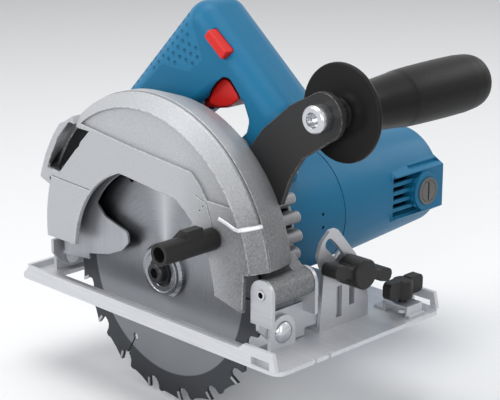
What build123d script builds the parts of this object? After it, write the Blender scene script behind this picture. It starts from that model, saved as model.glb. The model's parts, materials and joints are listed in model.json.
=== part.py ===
from build123d import *
from math import acos, atan2, cos, degrees, hypot, pi, radians, sin, tan
import os

# Hand-held circular saw for a 165 mm blade, in millimetres.
# X is the cutting direction, Y runs from the blade towards the motor, Z is up.
# The origin is on the underside of the sole, below the arbor, in the middle plane of the blade.

# Blade and its clamping
blade_radius = 82.5
blade_thickness = 1.8
blade_bore_radius = 10.0
tooth_count = 18
gullet_depth = 8.5
tip_width = 2.6
tip_height = 6.0
tip_thickness = 1.7
rake_angle = 12.0
first_tooth_angle = -161.4
relief_slot_length = 15.0
relief_slot_width = 1.2
relief_hole_radius = 2.2
relief_slot_count = 3
arbor_height = 24.0
inner_flange_radius = 18.0
outer_flange_radius = 17.0
flange_thickness = 3.5
outer_flange_thickness = 5.0
bolt_radius = 4.0
bolt_head_radius = 8.5
bolt_head_height = 6.0
bolt_length = 16.0
socket_radius = 3.5

# Fits
running_fit = 0.05
sliding_play = 0.3
seat_fit = 0.02

# Sole plate
plate_nose = 28.0
plate_tail = 13.0
plate_right = -30.0
plate_left = 110.0
plate_thickness = 2.5
plate_corner_radius = 7.0
rim_height = 9.0
rear_rim_height = 6.5
lip_height = 12.5
opening_room = 0.4
opening_right = -13.0
opening_left = 24.0
case_gap_half = 20.0
case_gap_left = 39.0
mark_width = 2.4
mark_depth = 2.2

# Rip fence slots and clamp
fence_step = 7.0
fence_bar_width = 14.0
fence_bar_height = 4.5
fence_screw_y = 90.0
bridge_width = 14.0
bridge_sheet = 2.0
bridge_foot = 7.0
fence_stud_radius = 2.5
fence_wing_half = 15.0
fence_wing_height = 11.0

# Bevel pivot, quadrant and clamp
bevel_height = 11.5
tab_step = 7.0
tab_radius = 10.0
rivet_radius = 3.5
rivet_head_radius = 7.0
rivet_head_height = 3.2
sheet = 2.5
quadrant_radius = 57.0
quadrant_rest_angle = 26.5
bevel_range = 45.0
clamp_radius = 3.0
clamp_slot_half = 3.3
quadrant_foot_depth = 11.0
quadrant_right = 30.0
quadrant_left = 72.0
quadrant_top = 62.5
knob_radius = 9.0
knob_length = 17.0
knob_wing_half = 25.0
knob_wing_thickness = 8.0

# Depth pivot, brackets and guide
pivot_step = 1.5
pivot_z = 37.5
pin_radius = 3.0
pin_bore_radius = 1.7
ear_radius = 8.5
near_ear_y = -14.0
far_ear_y = 18.0
ear_foot_z = 19.0
bracket_top = 24.0
depth_range = 30.0
guide_radius = 144.0
guide_half_width = 7.0
guide_rest_angle = 176.0
guide_gap = 0.6
stud_radius = 3.0
stud_slot_half = 3.2
lever_hub_radius = 9.0
lever_hub_length = 6.5
lever_length = 44.0

# Upper guard and the rim of the gear housing
guard_center_z = 36.5
guard_radius = 98.0
guard_bottom = 29.5
nose_gap = 2.0
face_y = -20.0
face_wall = 3.0
seam_y = -10.0
seam_gap = 0.3
rim_wall = 3.0
band_inner_radius = 90.0
crescent_depth = 1.5
window_radius = 63.0
chute_radius = 102.5
back_plate_front = 9.0
back_plate_wall = 3.0
shoulder_y = -3.0
shoulder_drop = 5.0
front_pad_height = 1.2

# Gears and motor axis
gear_module = 1.0
gear_teeth = 40
pinion_teeth = 10
motor_axis_x = 12.0
gear_width = 9.0
backlash = 0.16

# Spindle and gear case
spindle_radius = 6.0
spindle_rear_radius = 4.0
boss_radius = 20.0
boss_front = 4.8
front_bearing_radius = 14.0
front_bearing_width = 8.0
rear_bearing_radius = 8.0
rear_bearing_width = 5.0
case_wall = 1.7
case_gear_gap = 1.0
gear_front = 24.0
bearing_plate_front = 36.0
bearing_plate_depth = 10.0
housing_end = 56.0
lock_y = 20.0
lock_pin_radius = 2.5
lock_head_radius = 6.0
lock_travel = 3.6

# Motor
motor_radius = 40.0
motor_wall = 5.0
case_ring_wall = 5.0
motor_end = 203.0
taper_start = 101.7
end_radius = 33.4
end_round = 1.6
end_wall = 13.0
pad_start = 151.0
pad_reach = 37.2
pad_half_height = 14.2
pad_slope_x = 28.5
pad_slope_z = 19.0
pad_bevel = 2.4
vent_rows = 5
vent_pitch = 5.6
vent_height = 3.0
vent_start = 152.5
vent_end = 178.0
lug_radius = 6.0
lug_offset = 42.0
lug_length = 11.0
fin_count = 5
fin_pitch_angle = 15.0
fin_height = 5.5
fin_thickness = 7.4
shaft_radius = 5.0
shaft_rear_radius = 4.0
armature_bearing_radius = 13.0
armature_bearing_width = 8.0
rear_motor_bearing_radius = 11.0
rear_motor_bearing_width = 7.0
core_start = 92.0
core_length = 46.0
core_radius = 21.8
air_gap = 0.7
coil_depth = 8.5
coil_half_angle = 50.0
coil_overhang = 8.0
winding_length = 12.0
commutator_radius = 12.0
commutator_start = 170.0
commutator_length = 18.0
fan_radius = 32.5
fan_depth = 8.0
fan_blades = 12
brush_y = 182.0
brush_cap_radius = 9.0
brush_cap_depth = 6.0
brush_width = 6.0
brush_height = 8.0

# Handle
handle_y = 38.0
handle_half_width = 19.0
handle_wall = 4.0
handle_round = 13.0
loop_round = 5.5
handle_head_depth = 3.4
grip_pad_depth = 1.5
trigger_half_width = 7.5
trigger_gap = 0.7
trigger_pin_radius = 1.5
button_length = 18.5
button_width = 6.2
button_rise = 2.6
button_travel = 2.2
screw_radius = 2.0
screw_head_radius = 3.6
flat_head = 2.4
cord_bush_radius = 6.5
cord_bore_radius = 4.0
cord_bush_length = 12.0
cord_z = 104.0

# Auxiliary handle
aux_x = 114.0
aux_z = 136.0
aux_arm_thickness = 3.5
aux_arm_end_radius = 14.0
aux_bolt_head_radius = 8.0
aux_bolt_head_height = 8.5
aux_bolt_radius = 4.0
aux_spacer_length = 8.0
aux_disc_radius = 28.0
aux_disc_thickness = 4.0
aux_grip_radius = 16.5
aux_grip_length = 120.0

# Lower guard and its lever
swing_gap = 5.1
swing_wall = 1.6
swing_near_y = -9.0
swing_far_y = 7.6
swing_start_angle = 30.0
swing_end_angle = 186.0
swing_web_inner = 63.0
swing_hub_width = 7.0
lever_angle = 32.1
lever_radius = 74.4
lever_tube_radius = 6.5
lever_tube_bore = 4.4
lever_tube_length = 40.0
lever_foot_inner = 46.0
lever_foot_outer = 56.0

# Derived sizes
blade_half = blade_thickness / 2
swing_radius = blade_radius + swing_gap
opening_half_length = swing_radius + opening_room
front_tab_x = opening_half_length + tab_step
rear_tab_x = -front_tab_x
plate_front = front_tab_x + plate_nose
plate_rear = rear_tab_x - plate_tail
fence_bar_rear = front_tab_x + fence_step
pivot_x = front_tab_x + pivot_step
centre_distance = gear_module * (gear_teeth + pinion_teeth) / 2
motor_axis_z = arbor_height + (centre_distance**2 - motor_axis_x**2) ** 0.5
mesh_angle = degrees(atan2(motor_axis_z - arbor_height, motor_axis_x))
gear_tip_radius = gear_module * (gear_teeth / 2 + 1)
case_radius = gear_tip_radius + case_gear_gap + case_wall
back_plate_rear = back_plate_front + back_plate_wall
guide_front = back_plate_rear + guide_gap
guide_rear = guide_front + sheet
front_bracket_front = front_tab_x - sliding_play
front_bracket_rear = front_bracket_front - sheet
rear_bracket_rear = rear_tab_x + sliding_play
rear_bracket_front = rear_bracket_rear + sheet
stud_x = pivot_x + guide_radius * cos(radians(guide_rest_angle))
stud_z = pivot_z + guide_radius * sin(radians(guide_rest_angle))
clamp_y = quadrant_radius * cos(radians(quadrant_rest_angle))
clamp_z = bevel_height + quadrant_radius * sin(radians(quadrant_rest_angle))
handle_right_y = handle_y - handle_half_width
handle_left_y = handle_y + handle_half_width
core_end = core_start + core_length
housing_inner = motor_radius - motor_wall
case_ring_inner = motor_radius - case_ring_wall
fence_slot_top = plate_thickness + fence_bar_height
fence_bar_front = fence_bar_rear + fence_bar_width
aux_arm_front = back_plate_rear + 0.2
aux_arm_rear = aux_arm_front + aux_arm_thickness

pieces = {}


def polar(radius, angle, x=0.0, z=0.0):
    return (x + radius * cos(radians(angle)), z + radius * sin(radians(angle)))


def across(sketch, y0, y1):
    """Extrude an X-Z outline from y0 to y1."""
    plane = Plane(origin=(0, y1, 0), x_dir=(1, 0, 0), z_dir=(0, -1, 0))
    return extrude(plane * sketch, amount=y1 - y0, dir=(0, -1, 0))


def forward(sketch, x0, x1):
    """Extrude a Y-Z outline from x0 to x1."""
    return extrude(Plane.YZ.offset(x0) * sketch, amount=x1 - x0, dir=(1, 0, 0))


def upward(sketch, z0, z1):
    """Extrude an X-Y outline from z0 to z1."""
    return extrude(Plane.XY.offset(z0) * sketch, amount=z1 - z0, dir=(0, 0, 1))


def rod_y(x, z, radius, y0, y1):
    return across(Pos(x, z) * Circle(radius), y0, y1)


def ring_y(x, z, outer, inner, y0, y1):
    return across(Pos(x, z) * (Circle(outer) - Circle(inner)), y0, y1)


def rod_x(y, z, radius, x0, x1):
    return forward(Pos(y, z) * Circle(radius), x0, x1)


def rod_z(x, y, radius, z0, z1):
    return upward(Pos(x, y) * Circle(radius), z0, z1)


def brick(x0, x1, y0, y1, z0, z1):
    return Pos((x0 + x1) / 2, (y0 + y1) / 2, (z0 + z1) / 2) * Box(x1 - x0, y1 - y0, z1 - z0)


def outline(*points):
    return Polygon(*points, align=None)


def sector(x, z, inner, outer, start, end):
    """A piece of a flat ring between two angles."""
    far = CenterArc((x, z), outer, start, end - start)
    near = CenterArc((x, z), inner, start, end - start)
    return make_face([far, Line(far @ 1, near @ 1), near, Line(near @ 0, far @ 0)])


def arc_slot(x, z, radius, half_width, start, end):
    ends = [Pos(*polar(radius, angle, x, z)) * Circle(half_width) for angle in (start, end)]
    return sector(x, z, radius - half_width, radius + half_width, start, end) + ends[0] + ends[1]


def spun_y(x, z, *points):
    """Turn a radius-by-Y outline about an axis along Y."""
    face = Pos(x, 0, z) * outline(*points)
    return revolve(face, Axis((x, 0, z), (0, 1, 0)))


def group(solids):
    return Compound(children=list(solids))


# Gear outlines: involute flanks, thinned by the backlash.
def involute(angle):
    return tan(angle) - angle


def gear_outline(teeth, first_angle):
    pitch = gear_module * teeth / 2
    base = pitch * cos(radians(20))
    tip = pitch + gear_module * 0.9
    root = pitch - gear_module * 1.25
    half_tooth = pi / (2 * teeth) - backlash / (2 * pitch) + involute(radians(20))
    start = max(base, root)
    radii = [start, (start + pitch) / 2, pitch, tip]
    flank = [(r, half_tooth - involute(acos(min(1.0, base / r)))) for r in radii]
    points = []
    for tooth in range(teeth):
        middle = radians(first_angle) + 2 * pi * tooth / teeth
        rising = [(root, flank[0][1])] + flank
        points += [(r * cos(middle - a), r * sin(middle - a)) for r, a in rising]
        points += [(r * cos(middle + a), r * sin(middle + a)) for r, a in reversed(rising)]
    if root >= base:
        points = [p for i, p in enumerate(points) if i % 10 not in (1, 8)]
    return outline(*points)


# Sole plate with rim, fence lips and bevel tabs
def bevel_tab(x0, x1):
    face = Pos(0, bevel_height) * Circle(tab_radius)
    face += Pos(0, bevel_height / 2) * Rectangle(2 * tab_radius, bevel_height)
    face -= Pos(0, bevel_height) * Circle(rivet_radius + running_fit)
    return forward(face, x0, x1)


def base_plate():
    length = plate_front - plate_rear
    width = plate_left - plate_right
    middle_x = (plate_front + plate_rear) / 2
    middle_y = (plate_left + plate_right) / 2
    face = Pos(middle_x, middle_y) * RectangleRounded(length, width, plate_corner_radius)
    opening_y = (opening_left + opening_right) / 2
    face -= Pos(0, opening_y) * Rectangle(2 * opening_half_length, opening_left - opening_right)
    face -= Pos(0, case_gap_left / 2) * Rectangle(2 * case_gap_half, case_gap_left)
    for mark_y in (0.0, bevel_height):
        face -= Pos(plate_front, mark_y) * Rectangle(2 * mark_depth, mark_width)
    plate = upward(face, 0, plate_thickness)
    near_lip = outline(
        (plate_rear + plate_corner_radius, 0),
        (plate_front - plate_corner_radius, 0),
        (plate_front - 2, plate_thickness),
        (fence_bar_front + 2.5, lip_height),
        (fence_bar_rear - 6, lip_height),
        (fence_bar_rear - 10, rim_height),
        (plate_rear + 10, rim_height),
        (plate_rear + plate_corner_radius, rim_height - 4),
    )
    far_lip = outline(
        (fence_bar_rear - 10, 0),
        (plate_front - plate_corner_radius, 0),
        (plate_front - 2, plate_thickness),
        (fence_bar_front + 2.5, lip_height),
        (fence_bar_rear - 4, lip_height),
        (fence_bar_rear - 10, rim_height),
    )
    slot_z = plate_thickness + fence_bar_height / 2
    slot_x = fence_bar_rear + fence_bar_width / 2
    fence_slot = Pos(slot_x, slot_z) * Rectangle(fence_bar_width, fence_bar_height)
    plate += across(near_lip - fence_slot, plate_right, plate_right + plate_thickness)
    plate += across(far_lip - fence_slot, plate_left - plate_thickness, plate_left)
    rear_lip = outline(
        (plate_right + plate_corner_radius, 0), (plate_left - plate_corner_radius, 0),
        (plate_left - plate_corner_radius - 4, rear_rim_height),
        (plate_right + plate_corner_radius, rear_rim_height),
    )
    plate += forward(rear_lip, plate_rear, plate_rear + plate_thickness)
    plate += bevel_tab(front_tab_x, front_tab_x + plate_thickness)
    plate += bevel_tab(rear_tab_x - plate_thickness, rear_tab_x)
    for x, y in quadrant_rivet_places():
        plate -= rod_z(x, y, 2.0 + seat_fit, -1, plate_thickness + 1)
    plate -= rod_z(fence_screw_x(), fence_screw_y, fence_stud_radius + sliding_play, -1, plate_thickness + 1)
    return plate


def fence_screw_x():
    return fence_bar_rear + fence_bar_width / 2


def quadrant_rivet_places():
    x = front_tab_x - quadrant_foot_depth / 2
    return [(x, quadrant_right + 8), (x, quadrant_left - 8)]


def bevel_rivet(tab_face, bracket_face, outward):
    """A shouldered rivet through tab and bracket; outward is +1 at the front and -1 at the rear."""
    ball = (rivet_head_radius**2 + rivet_head_height**2) / (2 * rivet_head_height)
    ball_x = tab_face + outward * (rivet_head_height - ball)
    head = Pos(ball_x, 0, bevel_height) * Sphere(ball)
    ends = sorted((tab_face, tab_face + outward * 2 * rivet_head_height))
    head &= brick(*ends, -ball, ball, bevel_height - ball, bevel_height + ball)
    tail_face = bracket_face - outward * 0.1
    tail_end = bracket_face - outward * 1.9
    shank = rod_x(0, bevel_height, rivet_radius, *sorted((tail_end, tab_face)))
    tail = rod_x(0, bevel_height, rivet_radius + 2, *sorted((tail_end, tail_face)))
    return head + shank + tail


pieces["base_plate"] = base_plate()
pieces["bevel_rivets"] = group([
    bevel_rivet(front_tab_x + plate_thickness, front_bracket_rear, 1),
    bevel_rivet(rear_tab_x - plate_thickness, rear_bracket_front, -1),
])


# Bevel quadrant: upright with the arc slot, on a foot that is riveted to the plate
def bevel_quadrant():
    top_angle = quadrant_rest_angle + bevel_range / 2
    face = outline(
        (quadrant_right, plate_thickness),
        (quadrant_right + 3, clamp_z),
        (quadrant_right - 2, quadrant_top - 14),
        (quadrant_right + 1, quadrant_top - 6),
        (quadrant_right + 8, quadrant_top),
        (quadrant_right + 14, quadrant_top),
        (quadrant_left - 12, clamp_z + 7),
        (quadrant_left - 3, clamp_z - 7),
        (quadrant_left, plate_thickness + 11),
        (quadrant_left, plate_thickness),
    )
    face = fillet(face.vertices().sort_by(Axis.Y)[-6:], 3.0)
    face -= arc_slot(0, bevel_height, quadrant_radius, clamp_slot_half, quadrant_rest_angle, top_angle)
    for y, low, high in ((clamp_y - 4.5, 8.0, 27.0), (clamp_y + 6.5, 13.0, 25.0)):
        face -= Pos(y, (low + high) / 2) * Rectangle(4.6, high - low)
    plate = forward(face, front_tab_x, front_tab_x + sheet)
    foot_rear = front_tab_x - quadrant_foot_depth
    foot_top = plate_thickness + sheet
    foot = brick(foot_rear, front_tab_x, quadrant_right, quadrant_left, plate_thickness, foot_top)
    for x, y in quadrant_rivet_places():
        foot -= rod_z(x, y, 2.0 + seat_fit, 0, foot_top + 1)
    return plate + foot


def quadrant_rivet(x, y):
    foot_top = plate_thickness + sheet
    return rod_z(x, y, 2.0, 0, foot_top) + rod_z(x, y, 3.4, foot_top, foot_top + 1.4)


pieces["bevel_quadrant"] = bevel_quadrant()
pieces["quadrant_rivets"] = group([quadrant_rivet(x, y) for x, y in quadrant_rivet_places()])


# Clamp bolt and wing knob of the bevel setting
def bevel_clamp_bolt():
    head_front = front_bracket_rear - 0.1
    head = rod_x(clamp_y, clamp_z, clamp_radius + 3.5, head_front - 3.5, head_front)
    shank = rod_x(clamp_y, clamp_z, clamp_radius, head_front - 3.5, front_tab_x + sheet + knob_length - 3)
    return head + shank


def bevel_clamp_washer():
    start = front_tab_x + sheet + 0.1
    ring = Pos(clamp_y, clamp_z) * (Circle(clamp_radius + 4.5) - Circle(clamp_radius + running_fit))
    return forward(ring, start, start + 1.4)


def bevel_wing_knob():
    start = front_tab_x + sheet + 1.8
    end = front_tab_x + sheet + knob_length
    hub = rod_x(clamp_y, clamp_z, knob_radius, start, end)
    hub = chamfer(hub.edges().sort_by(Axis.X)[-1], 0.8)
    wing = Rectangle(2 * knob_wing_half, knob_wing_thickness)
    wing = fillet(wing.vertices(), 0.45 * knob_wing_thickness)
    waist = Circle(knob_wing_thickness * 0.55)
    for side in (-1, 1):
        wing -= Pos(side * knob_wing_half * 0.5, knob_wing_thickness * 0.85) * waist
        wing -= Pos(side * knob_wing_half * 0.5, -knob_wing_thickness * 0.85) * waist
    wing = Pos(clamp_y, clamp_z) * Rot(0, 0, -15) * wing
    hub += forward(wing, start + 2, end - 2)
    return hub - rod_x(clamp_y, clamp_z, clamp_radius + running_fit, start - 1, end - 2)


pieces["bevel_clamp_bolt"] = bevel_clamp_bolt()
pieces["bevel_clamp_washer"] = bevel_clamp_washer()
pieces["bevel_wing_knob"] = bevel_wing_knob()


# Rip fence bridge and its wing screw
def fence_bridge():
    inner_rear = fence_bar_rear - 0.5
    inner_front = fence_bar_front + 0.5
    inner_top = fence_slot_top + 0.5
    outer_top = inner_top + bridge_sheet
    face = outline(
        (inner_rear - bridge_sheet - bridge_foot, plate_thickness),
        (inner_rear, plate_thickness),
        (inner_rear, inner_top),
        (inner_front, inner_top),
        (inner_front, plate_thickness),
        (inner_front + bridge_sheet + 2, plate_thickness),
        (inner_front + bridge_sheet + 2, plate_thickness + bridge_sheet),
        (inner_front + bridge_sheet, plate_thickness + bridge_sheet),
        (inner_front + bridge_sheet, outer_top),
        (inner_rear - bridge_sheet, outer_top),
        (inner_rear - bridge_sheet, plate_thickness + bridge_sheet),
        (inner_rear - bridge_sheet - bridge_foot, plate_thickness + bridge_sheet),
    )
    strap = across(face, fence_screw_y - bridge_width / 2, fence_screw_y + bridge_width / 2)
    hole = rod_z(fence_screw_x(), fence_screw_y, fence_stud_radius + running_fit, 0, outer_top + 1)
    return strap - hole


def fence_wing_screw():
    x = fence_screw_x()
    top = fence_slot_top + 0.5 + bridge_sheet
    stud = rod_z(x, fence_screw_y, fence_stud_radius, fence_slot_top + 0.2, top + 6)
    hub = rod_z(x, fence_screw_y, 6.0, top + 2.5, top + 2.5 + fence_wing_height)
    blade = Rectangle(2 * fence_wing_half, fence_wing_height)
    blade = fillet(blade.vertices(), 0.3 * fence_wing_height)
    blade -= Pos(0, 0.75 * fence_wing_height) * Circle(0.45 * fence_wing_height)
    blade = Pos(fence_screw_y, top + 3.5 + fence_wing_height / 2) * blade
    return stud + hub + forward(blade, x - 3, x + 3)


pieces["fence_bridge"] = fence_bridge()
pieces["fence_wing_screw"] = fence_wing_screw()


# Front bracket: plate on the bevel rivet, ears for the depth pivot, arm with the second arc slot
def ear(y0, y1):
    face = Pos(pivot_x, pivot_z) * Circle(ear_radius)
    face += Pos(pivot_x, (ear_foot_z + pivot_z) / 2) * Rectangle(2 * ear_radius, pivot_z - ear_foot_z)
    face -= Pos(pivot_x, pivot_z) * Circle(pin_radius + seat_fit)
    return across(face, y0, y1)


def bracket_foot(left, right):
    """Outline that stays above the plate when the bracket tilts about the rivet."""
    clear = bevel_height - plate_thickness - 2 * sliding_play
    return outline(
        (right, bracket_top),
        (right, bevel_height + 4),
        (-clear, bevel_height - 0.4 * clear),
        (-0.7 * clear, bevel_height - 0.7 * clear),
        (0, bevel_height - clear),
        (left, bevel_height - clear),
        (left, bracket_top),
    )


def front_bracket():
    low_angle = quadrant_rest_angle - bevel_range / 2
    face = bracket_foot(far_ear_y + sheet, near_ear_y - sheet)
    arm_low = plate_thickness + sheet + 2.5
    arm = outline((0, arm_low), (quadrant_radius, arm_low), (quadrant_radius, bracket_top), (0, bracket_top))
    face += arm
    reach = clamp_slot_half + 5
    inner = quadrant_radius - reach
    face += sector(0, bevel_height, inner, quadrant_radius + reach, low_angle - 6, quadrant_rest_angle + 8)
    face -= arc_slot(0, bevel_height, quadrant_radius, clamp_slot_half, low_angle, quadrant_rest_angle)
    face -= Pos(0, bevel_height) * Circle(rivet_radius + running_fit)
    face -= Pos(0.5 * (far_ear_y + quadrant_right), bracket_top) * Circle(5)
    plate = forward(face, front_bracket_rear, front_bracket_front)
    return plate + ear(near_ear_y - sheet, near_ear_y) + ear(far_ear_y, far_ear_y + sheet)


pieces["front_bracket"] = front_bracket()
pin_overhang = 0.8
pieces["depth_pivot_pin"] = ring_y(
    pivot_x, pivot_z, pin_radius, pin_bore_radius,
    near_ear_y - sheet - pin_overhang, far_ear_y + sheet + pin_overhang,
)


# Rear bracket with a side flange, and the depth guide riveted to it
guide_low_angle = 191.0
guide_rivet_angle = 187.0
flange_front_x = pivot_x - (guide_radius - guide_half_width - 2)
guide_rivets_at = [polar(guide_radius + s, guide_rivet_angle, pivot_x, pivot_z) for s in (-3.8, 3.8)]


def rear_bracket():
    face = bracket_foot(guide_rear + sheet, near_ear_y)
    face -= Pos(0, bevel_height) * Circle(rivet_radius + running_fit)
    plate = forward(face, rear_bracket_rear, rear_bracket_front)
    low = plate_thickness + 3.5
    plate += brick(rear_bracket_rear, flange_front_x, guide_rear, guide_rear + sheet, low, bracket_top)
    for x, z in guide_rivets_at:
        plate -= rod_y(x, z, 2.0 + seat_fit, guide_rear - 1, guide_rear + sheet + 1)
    return plate


def depth_guide():
    inner = guide_radius - guide_half_width
    outer = guide_radius + guide_half_width
    high = guide_rest_angle - depth_range
    face = sector(pivot_x, pivot_z, inner, outer, high - 4, guide_low_angle)
    face -= arc_slot(pivot_x, pivot_z, guide_radius, stud_slot_half, high, guide_rest_angle)
    for x, z in guide_rivets_at:
        face -= Pos(x, z) * Circle(2.0 + seat_fit)
    return across(face, guide_front, guide_rear)


def guide_rivet(x, z):
    head = rod_y(x, z, 3.2, guide_rear + sheet, guide_rear + sheet + 1.4)
    return head + rod_y(x, z, 2.0, guide_front, guide_rear + sheet)


pieces["rear_bracket"] = rear_bracket()
pieces["depth_guide"] = depth_guide()
pieces["guide_rivets"] = group([guide_rivet(x, z) for x, z in guide_rivets_at])


# Upper guard: cast cover with face, sloping band, window, dust outlet and raised front pad
def guard_trim():
    """Side outline that both halves of the guard are cut to."""
    far = 2 * guard_radius
    nose_x = pivot_x - ear_radius - nose_gap
    return outline(
        (-far, guard_bottom),
        (0.75 * blade_radius, guard_bottom),
        (nose_x - 1.5, guard_bottom - 5),
        (nose_x, pivot_z + ear_radius + 1),
        (guard_radius + 6, pivot_z + ear_radius + 5),
        (guard_radius + 6, far),
        (-far, far),
    )


def window_outline():
    """Round opening about the arbor, cut off by the straight upper edge."""
    limit = outline((-80, -80), (-80, 91), (37, 78.5), (46, 67.5), (75, 40), (75, -80))
    return Pos(0, arbor_height) * Circle(window_radius) & limit


def chute_outline():
    return outline((-66, 107), (-49, 104), (-62, 91), (-76, 75), (-88, 77), (-78, 95))


def guard_disc(face_radius, rim_radius):
    """Solid of the cover: flat face, sloping band and a short rim up to the seam."""
    return spun_y(
        0, guard_center_z,
        (0, face_y), (face_radius, face_y), (rim_radius, seam_y - 2), (rim_radius, seam_y), (0, seam_y),
    )


def upper_guard():
    end = seam_y
    inner_band = band_inner_radius - 1.5
    inner_rim = guard_radius - rim_wall - 0.8
    rim = guard_radius - 0.5
    envelope = guard_disc(band_inner_radius, rim)
    pad = guard_disc(band_inner_radius + front_pad_height, rim + front_pad_height)
    cover = envelope
    pad_zone = outline((62, 72), (70, 70.5), (79, 71.5), (110, 84), (110, 0), (62, 0))
    cover += pad & across(pad_zone, face_y - 1, end + 1)
    chute = spun_y(
        0, guard_center_z,
        (band_inner_radius - 8, face_y + 1), (chute_radius - 1, face_y + 1.5),
        (chute_radius, face_y + 3), (chute_radius, end), (band_inner_radius - 8, end),
    )
    wedge_ends = [polar(2 * guard_radius, angle, 0, guard_center_z) for angle in (131, 163)]
    wedge = outline((0, guard_center_z), *wedge_ends)
    cover += chute & across(wedge, face_y - 1, end + 1)
    inner_face = face_y + face_wall
    cavity = spun_y(
        0, guard_center_z,
        (0, inner_face), (inner_band, inner_face), (inner_rim, end - 1), (inner_rim, end + 1), (0, end + 1),
    )
    cover -= cavity
    cover &= across(guard_trim(), face_y - 1, end + 1)
    cover -= across(window_outline(), face_y - 1, end)
    cover -= across(chute_outline(), face_y - 1, end - 2.5)
    crescent = Pos(0, guard_center_z) * Circle(band_inner_radius - 0.5)
    crescent &= outline((-66, 110), (-9, 103), (44, 98), (51, 92), (57, 84), (80, 84), (80, 150), (-66, 150))
    cover -= across(crescent, face_y - 1, face_y + crescent_depth)
    for x, z in guard_screw_places():
        cover += rod_y(x, z, 4.5, inner_face - 0.5, end) & envelope
        cover -= rod_y(x, z, screw_radius + seat_fit, inner_face + 1, end + 1)
    return cover


def guard_screw_places():
    """Screws between the two halves, out of the lower guard's way."""
    return [polar(guard_radius - rim_wall - 5.5, angle, 0, guard_center_z) for angle in (62, 94, 126)]


pieces["upper_guard"] = upper_guard()


# Gear housing: rim and back plate of the guard, gear case, fins, pivot boss
def fin_angles():
    first = -fin_pitch_angle * (fin_count - 1) / 2
    return [first + fin_pitch_angle * i for i in range(fin_count)]


def lug_places():
    return [polar(lug_offset, angle, motor_axis_x, motor_axis_z) for angle in (52, 128, 232, 308)]


def gear_housing():
    rim_start = seam_y + seam_gap
    outer = guard_radius
    inner = guard_radius - rim_wall
    lower = guard_radius - shoulder_drop
    housing = spun_y(
        0, guard_center_z,
        (0, back_plate_rear), (lower, back_plate_rear), (outer, shoulder_y), (outer, rim_start),
        (inner, rim_start), (inner, shoulder_y), (lower - 2, back_plate_front), (0, back_plate_front),
    )
    housing &= across(guard_trim(), rim_start - 1, back_plate_rear + 1)
    case = Pos(0, arbor_height) * Circle(case_radius)
    housing += across(case, back_plate_front, bearing_plate_front)
    housing += rod_y(0, arbor_height, boss_radius, boss_front, back_plate_rear)
    housing += rod_y(motor_axis_x, motor_axis_z, motor_radius, back_plate_rear, housing_end)
    for angle in fin_angles():
        fin = Pos(motor_radius, 0) * SlotOverall(2 * fin_height + 4, fin_thickness)
        fin = Pos(motor_axis_x, motor_axis_z) * Rot(0, 0, angle) * fin
        housing += across(fin, back_plate_rear, housing_end - 0.5)
    for x, z in lug_places():
        housing += rod_y(x, z, lug_radius, housing_end - lug_length, housing_end)
    web = outline(
        (pivot_x - 22, pivot_z - 5), (pivot_x, pivot_z - 7.5), (pivot_x, pivot_z + 7.5),
        (pivot_x - 8, pivot_z + 14), (pivot_x - 22, pivot_z + 14),
    )
    boss_near = near_ear_y + sliding_play
    boss_far = far_ear_y - sliding_play
    housing += across(web, back_plate_front, boss_far)
    housing += rod_y(pivot_x, pivot_z, ear_radius - 0.5, boss_near, boss_far)
    for x, z in handle_boss_places():
        housing += rod_y(x, z, 7.0, back_plate_rear - 1, handle_right_y)
    # Bores and cavities
    housing -= rod_y(pivot_x, pivot_z, pin_radius + running_fit, boss_near - 1, boss_far + 1)
    bearing_rear = back_plate_front + front_bearing_width
    gear_bay = gear_front - case_gear_gap
    housing -= rod_y(0, arbor_height, 10.0, boss_front - 1, gear_bay + 1)
    housing -= rod_y(0, arbor_height, front_bearing_radius, back_plate_front, bearing_rear)
    housing -= rod_y(0, arbor_height, gear_tip_radius + case_gear_gap, gear_bay, bearing_plate_front + 1)
    pinion_bay = gear_module * (pinion_teeth / 2 + 1) + case_gear_gap
    housing -= rod_y(motor_axis_x, motor_axis_z, pinion_bay, gear_bay - 1, bearing_plate_front + 1)
    housing -= rod_y(motor_axis_x, motor_axis_z, case_ring_inner, bearing_plate_front, housing_end + 1)
    for left, right in zip(fin_angles(), fin_angles()[1:]):
        gap = motor_radius * radians(fin_pitch_angle) - fin_thickness - 1.0
        vent = Pos(motor_radius - 2, 0) * Rectangle(14, gap)
        vent = Pos(motor_axis_x, motor_axis_z) * Rot(0, 0, (left + right) / 2) * vent
        housing -= across(vent, housing_end - 9, housing_end - 2)
    for x, z in lug_places():
        housing -= rod_y(x, z, screw_radius + seat_fit, housing_end - lug_length - 1, housing_end + 1)
    envelope = spun_y(
        0, guard_center_z,
        (0, back_plate_rear), (lower, back_plate_rear), (outer, shoulder_y),
        (outer, rim_start), (0, rim_start),
    )
    for x, z in guard_screw_places():
        housing += rod_y(x, z, 5.0, rim_start, back_plate_rear) & envelope
        housing -= rod_y(x, z, screw_radius + seat_fit, rim_start - 1, back_plate_rear + 1)
        housing -= rod_y(x, z, screw_head_radius + 0.2, back_plate_rear - flat_head, back_plate_rear + 1)
    for x, z in aux_screw_places():
        housing -= rod_y(x, z, screw_radius + seat_fit, back_plate_front - 1, back_plate_rear + 1)
    for x, z in handle_boss_places():
        housing -= rod_y(x, z, screw_radius + seat_fit, back_plate_rear - 2, handle_right_y + 1)
    housing -= rod_y(stud_x, stud_z, stud_radius + seat_fit, back_plate_front - 1, back_plate_rear + 1)
    housing -= rod_lock(lock_pin_radius + running_fit, -case_radius - 2, -5)
    # Room for the lower guard, which swings inside the rim
    swing_room = swing_radius + sliding_play
    housing -= ring_y(0, arbor_height, swing_room, swing_web_inner, rim_start - 1, back_plate_front)
    return housing


def rod_lock(radius, x0, x1):
    return rod_x(lock_y, arbor_height, radius, x0, x1)


def aux_screw_places():
    return [(64.0, 96.0), (75.0, 86.0)]


def handle_boss_places():
    return [(45.0, 104.0)]


pieces["gear_housing"] = gear_housing()


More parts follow.
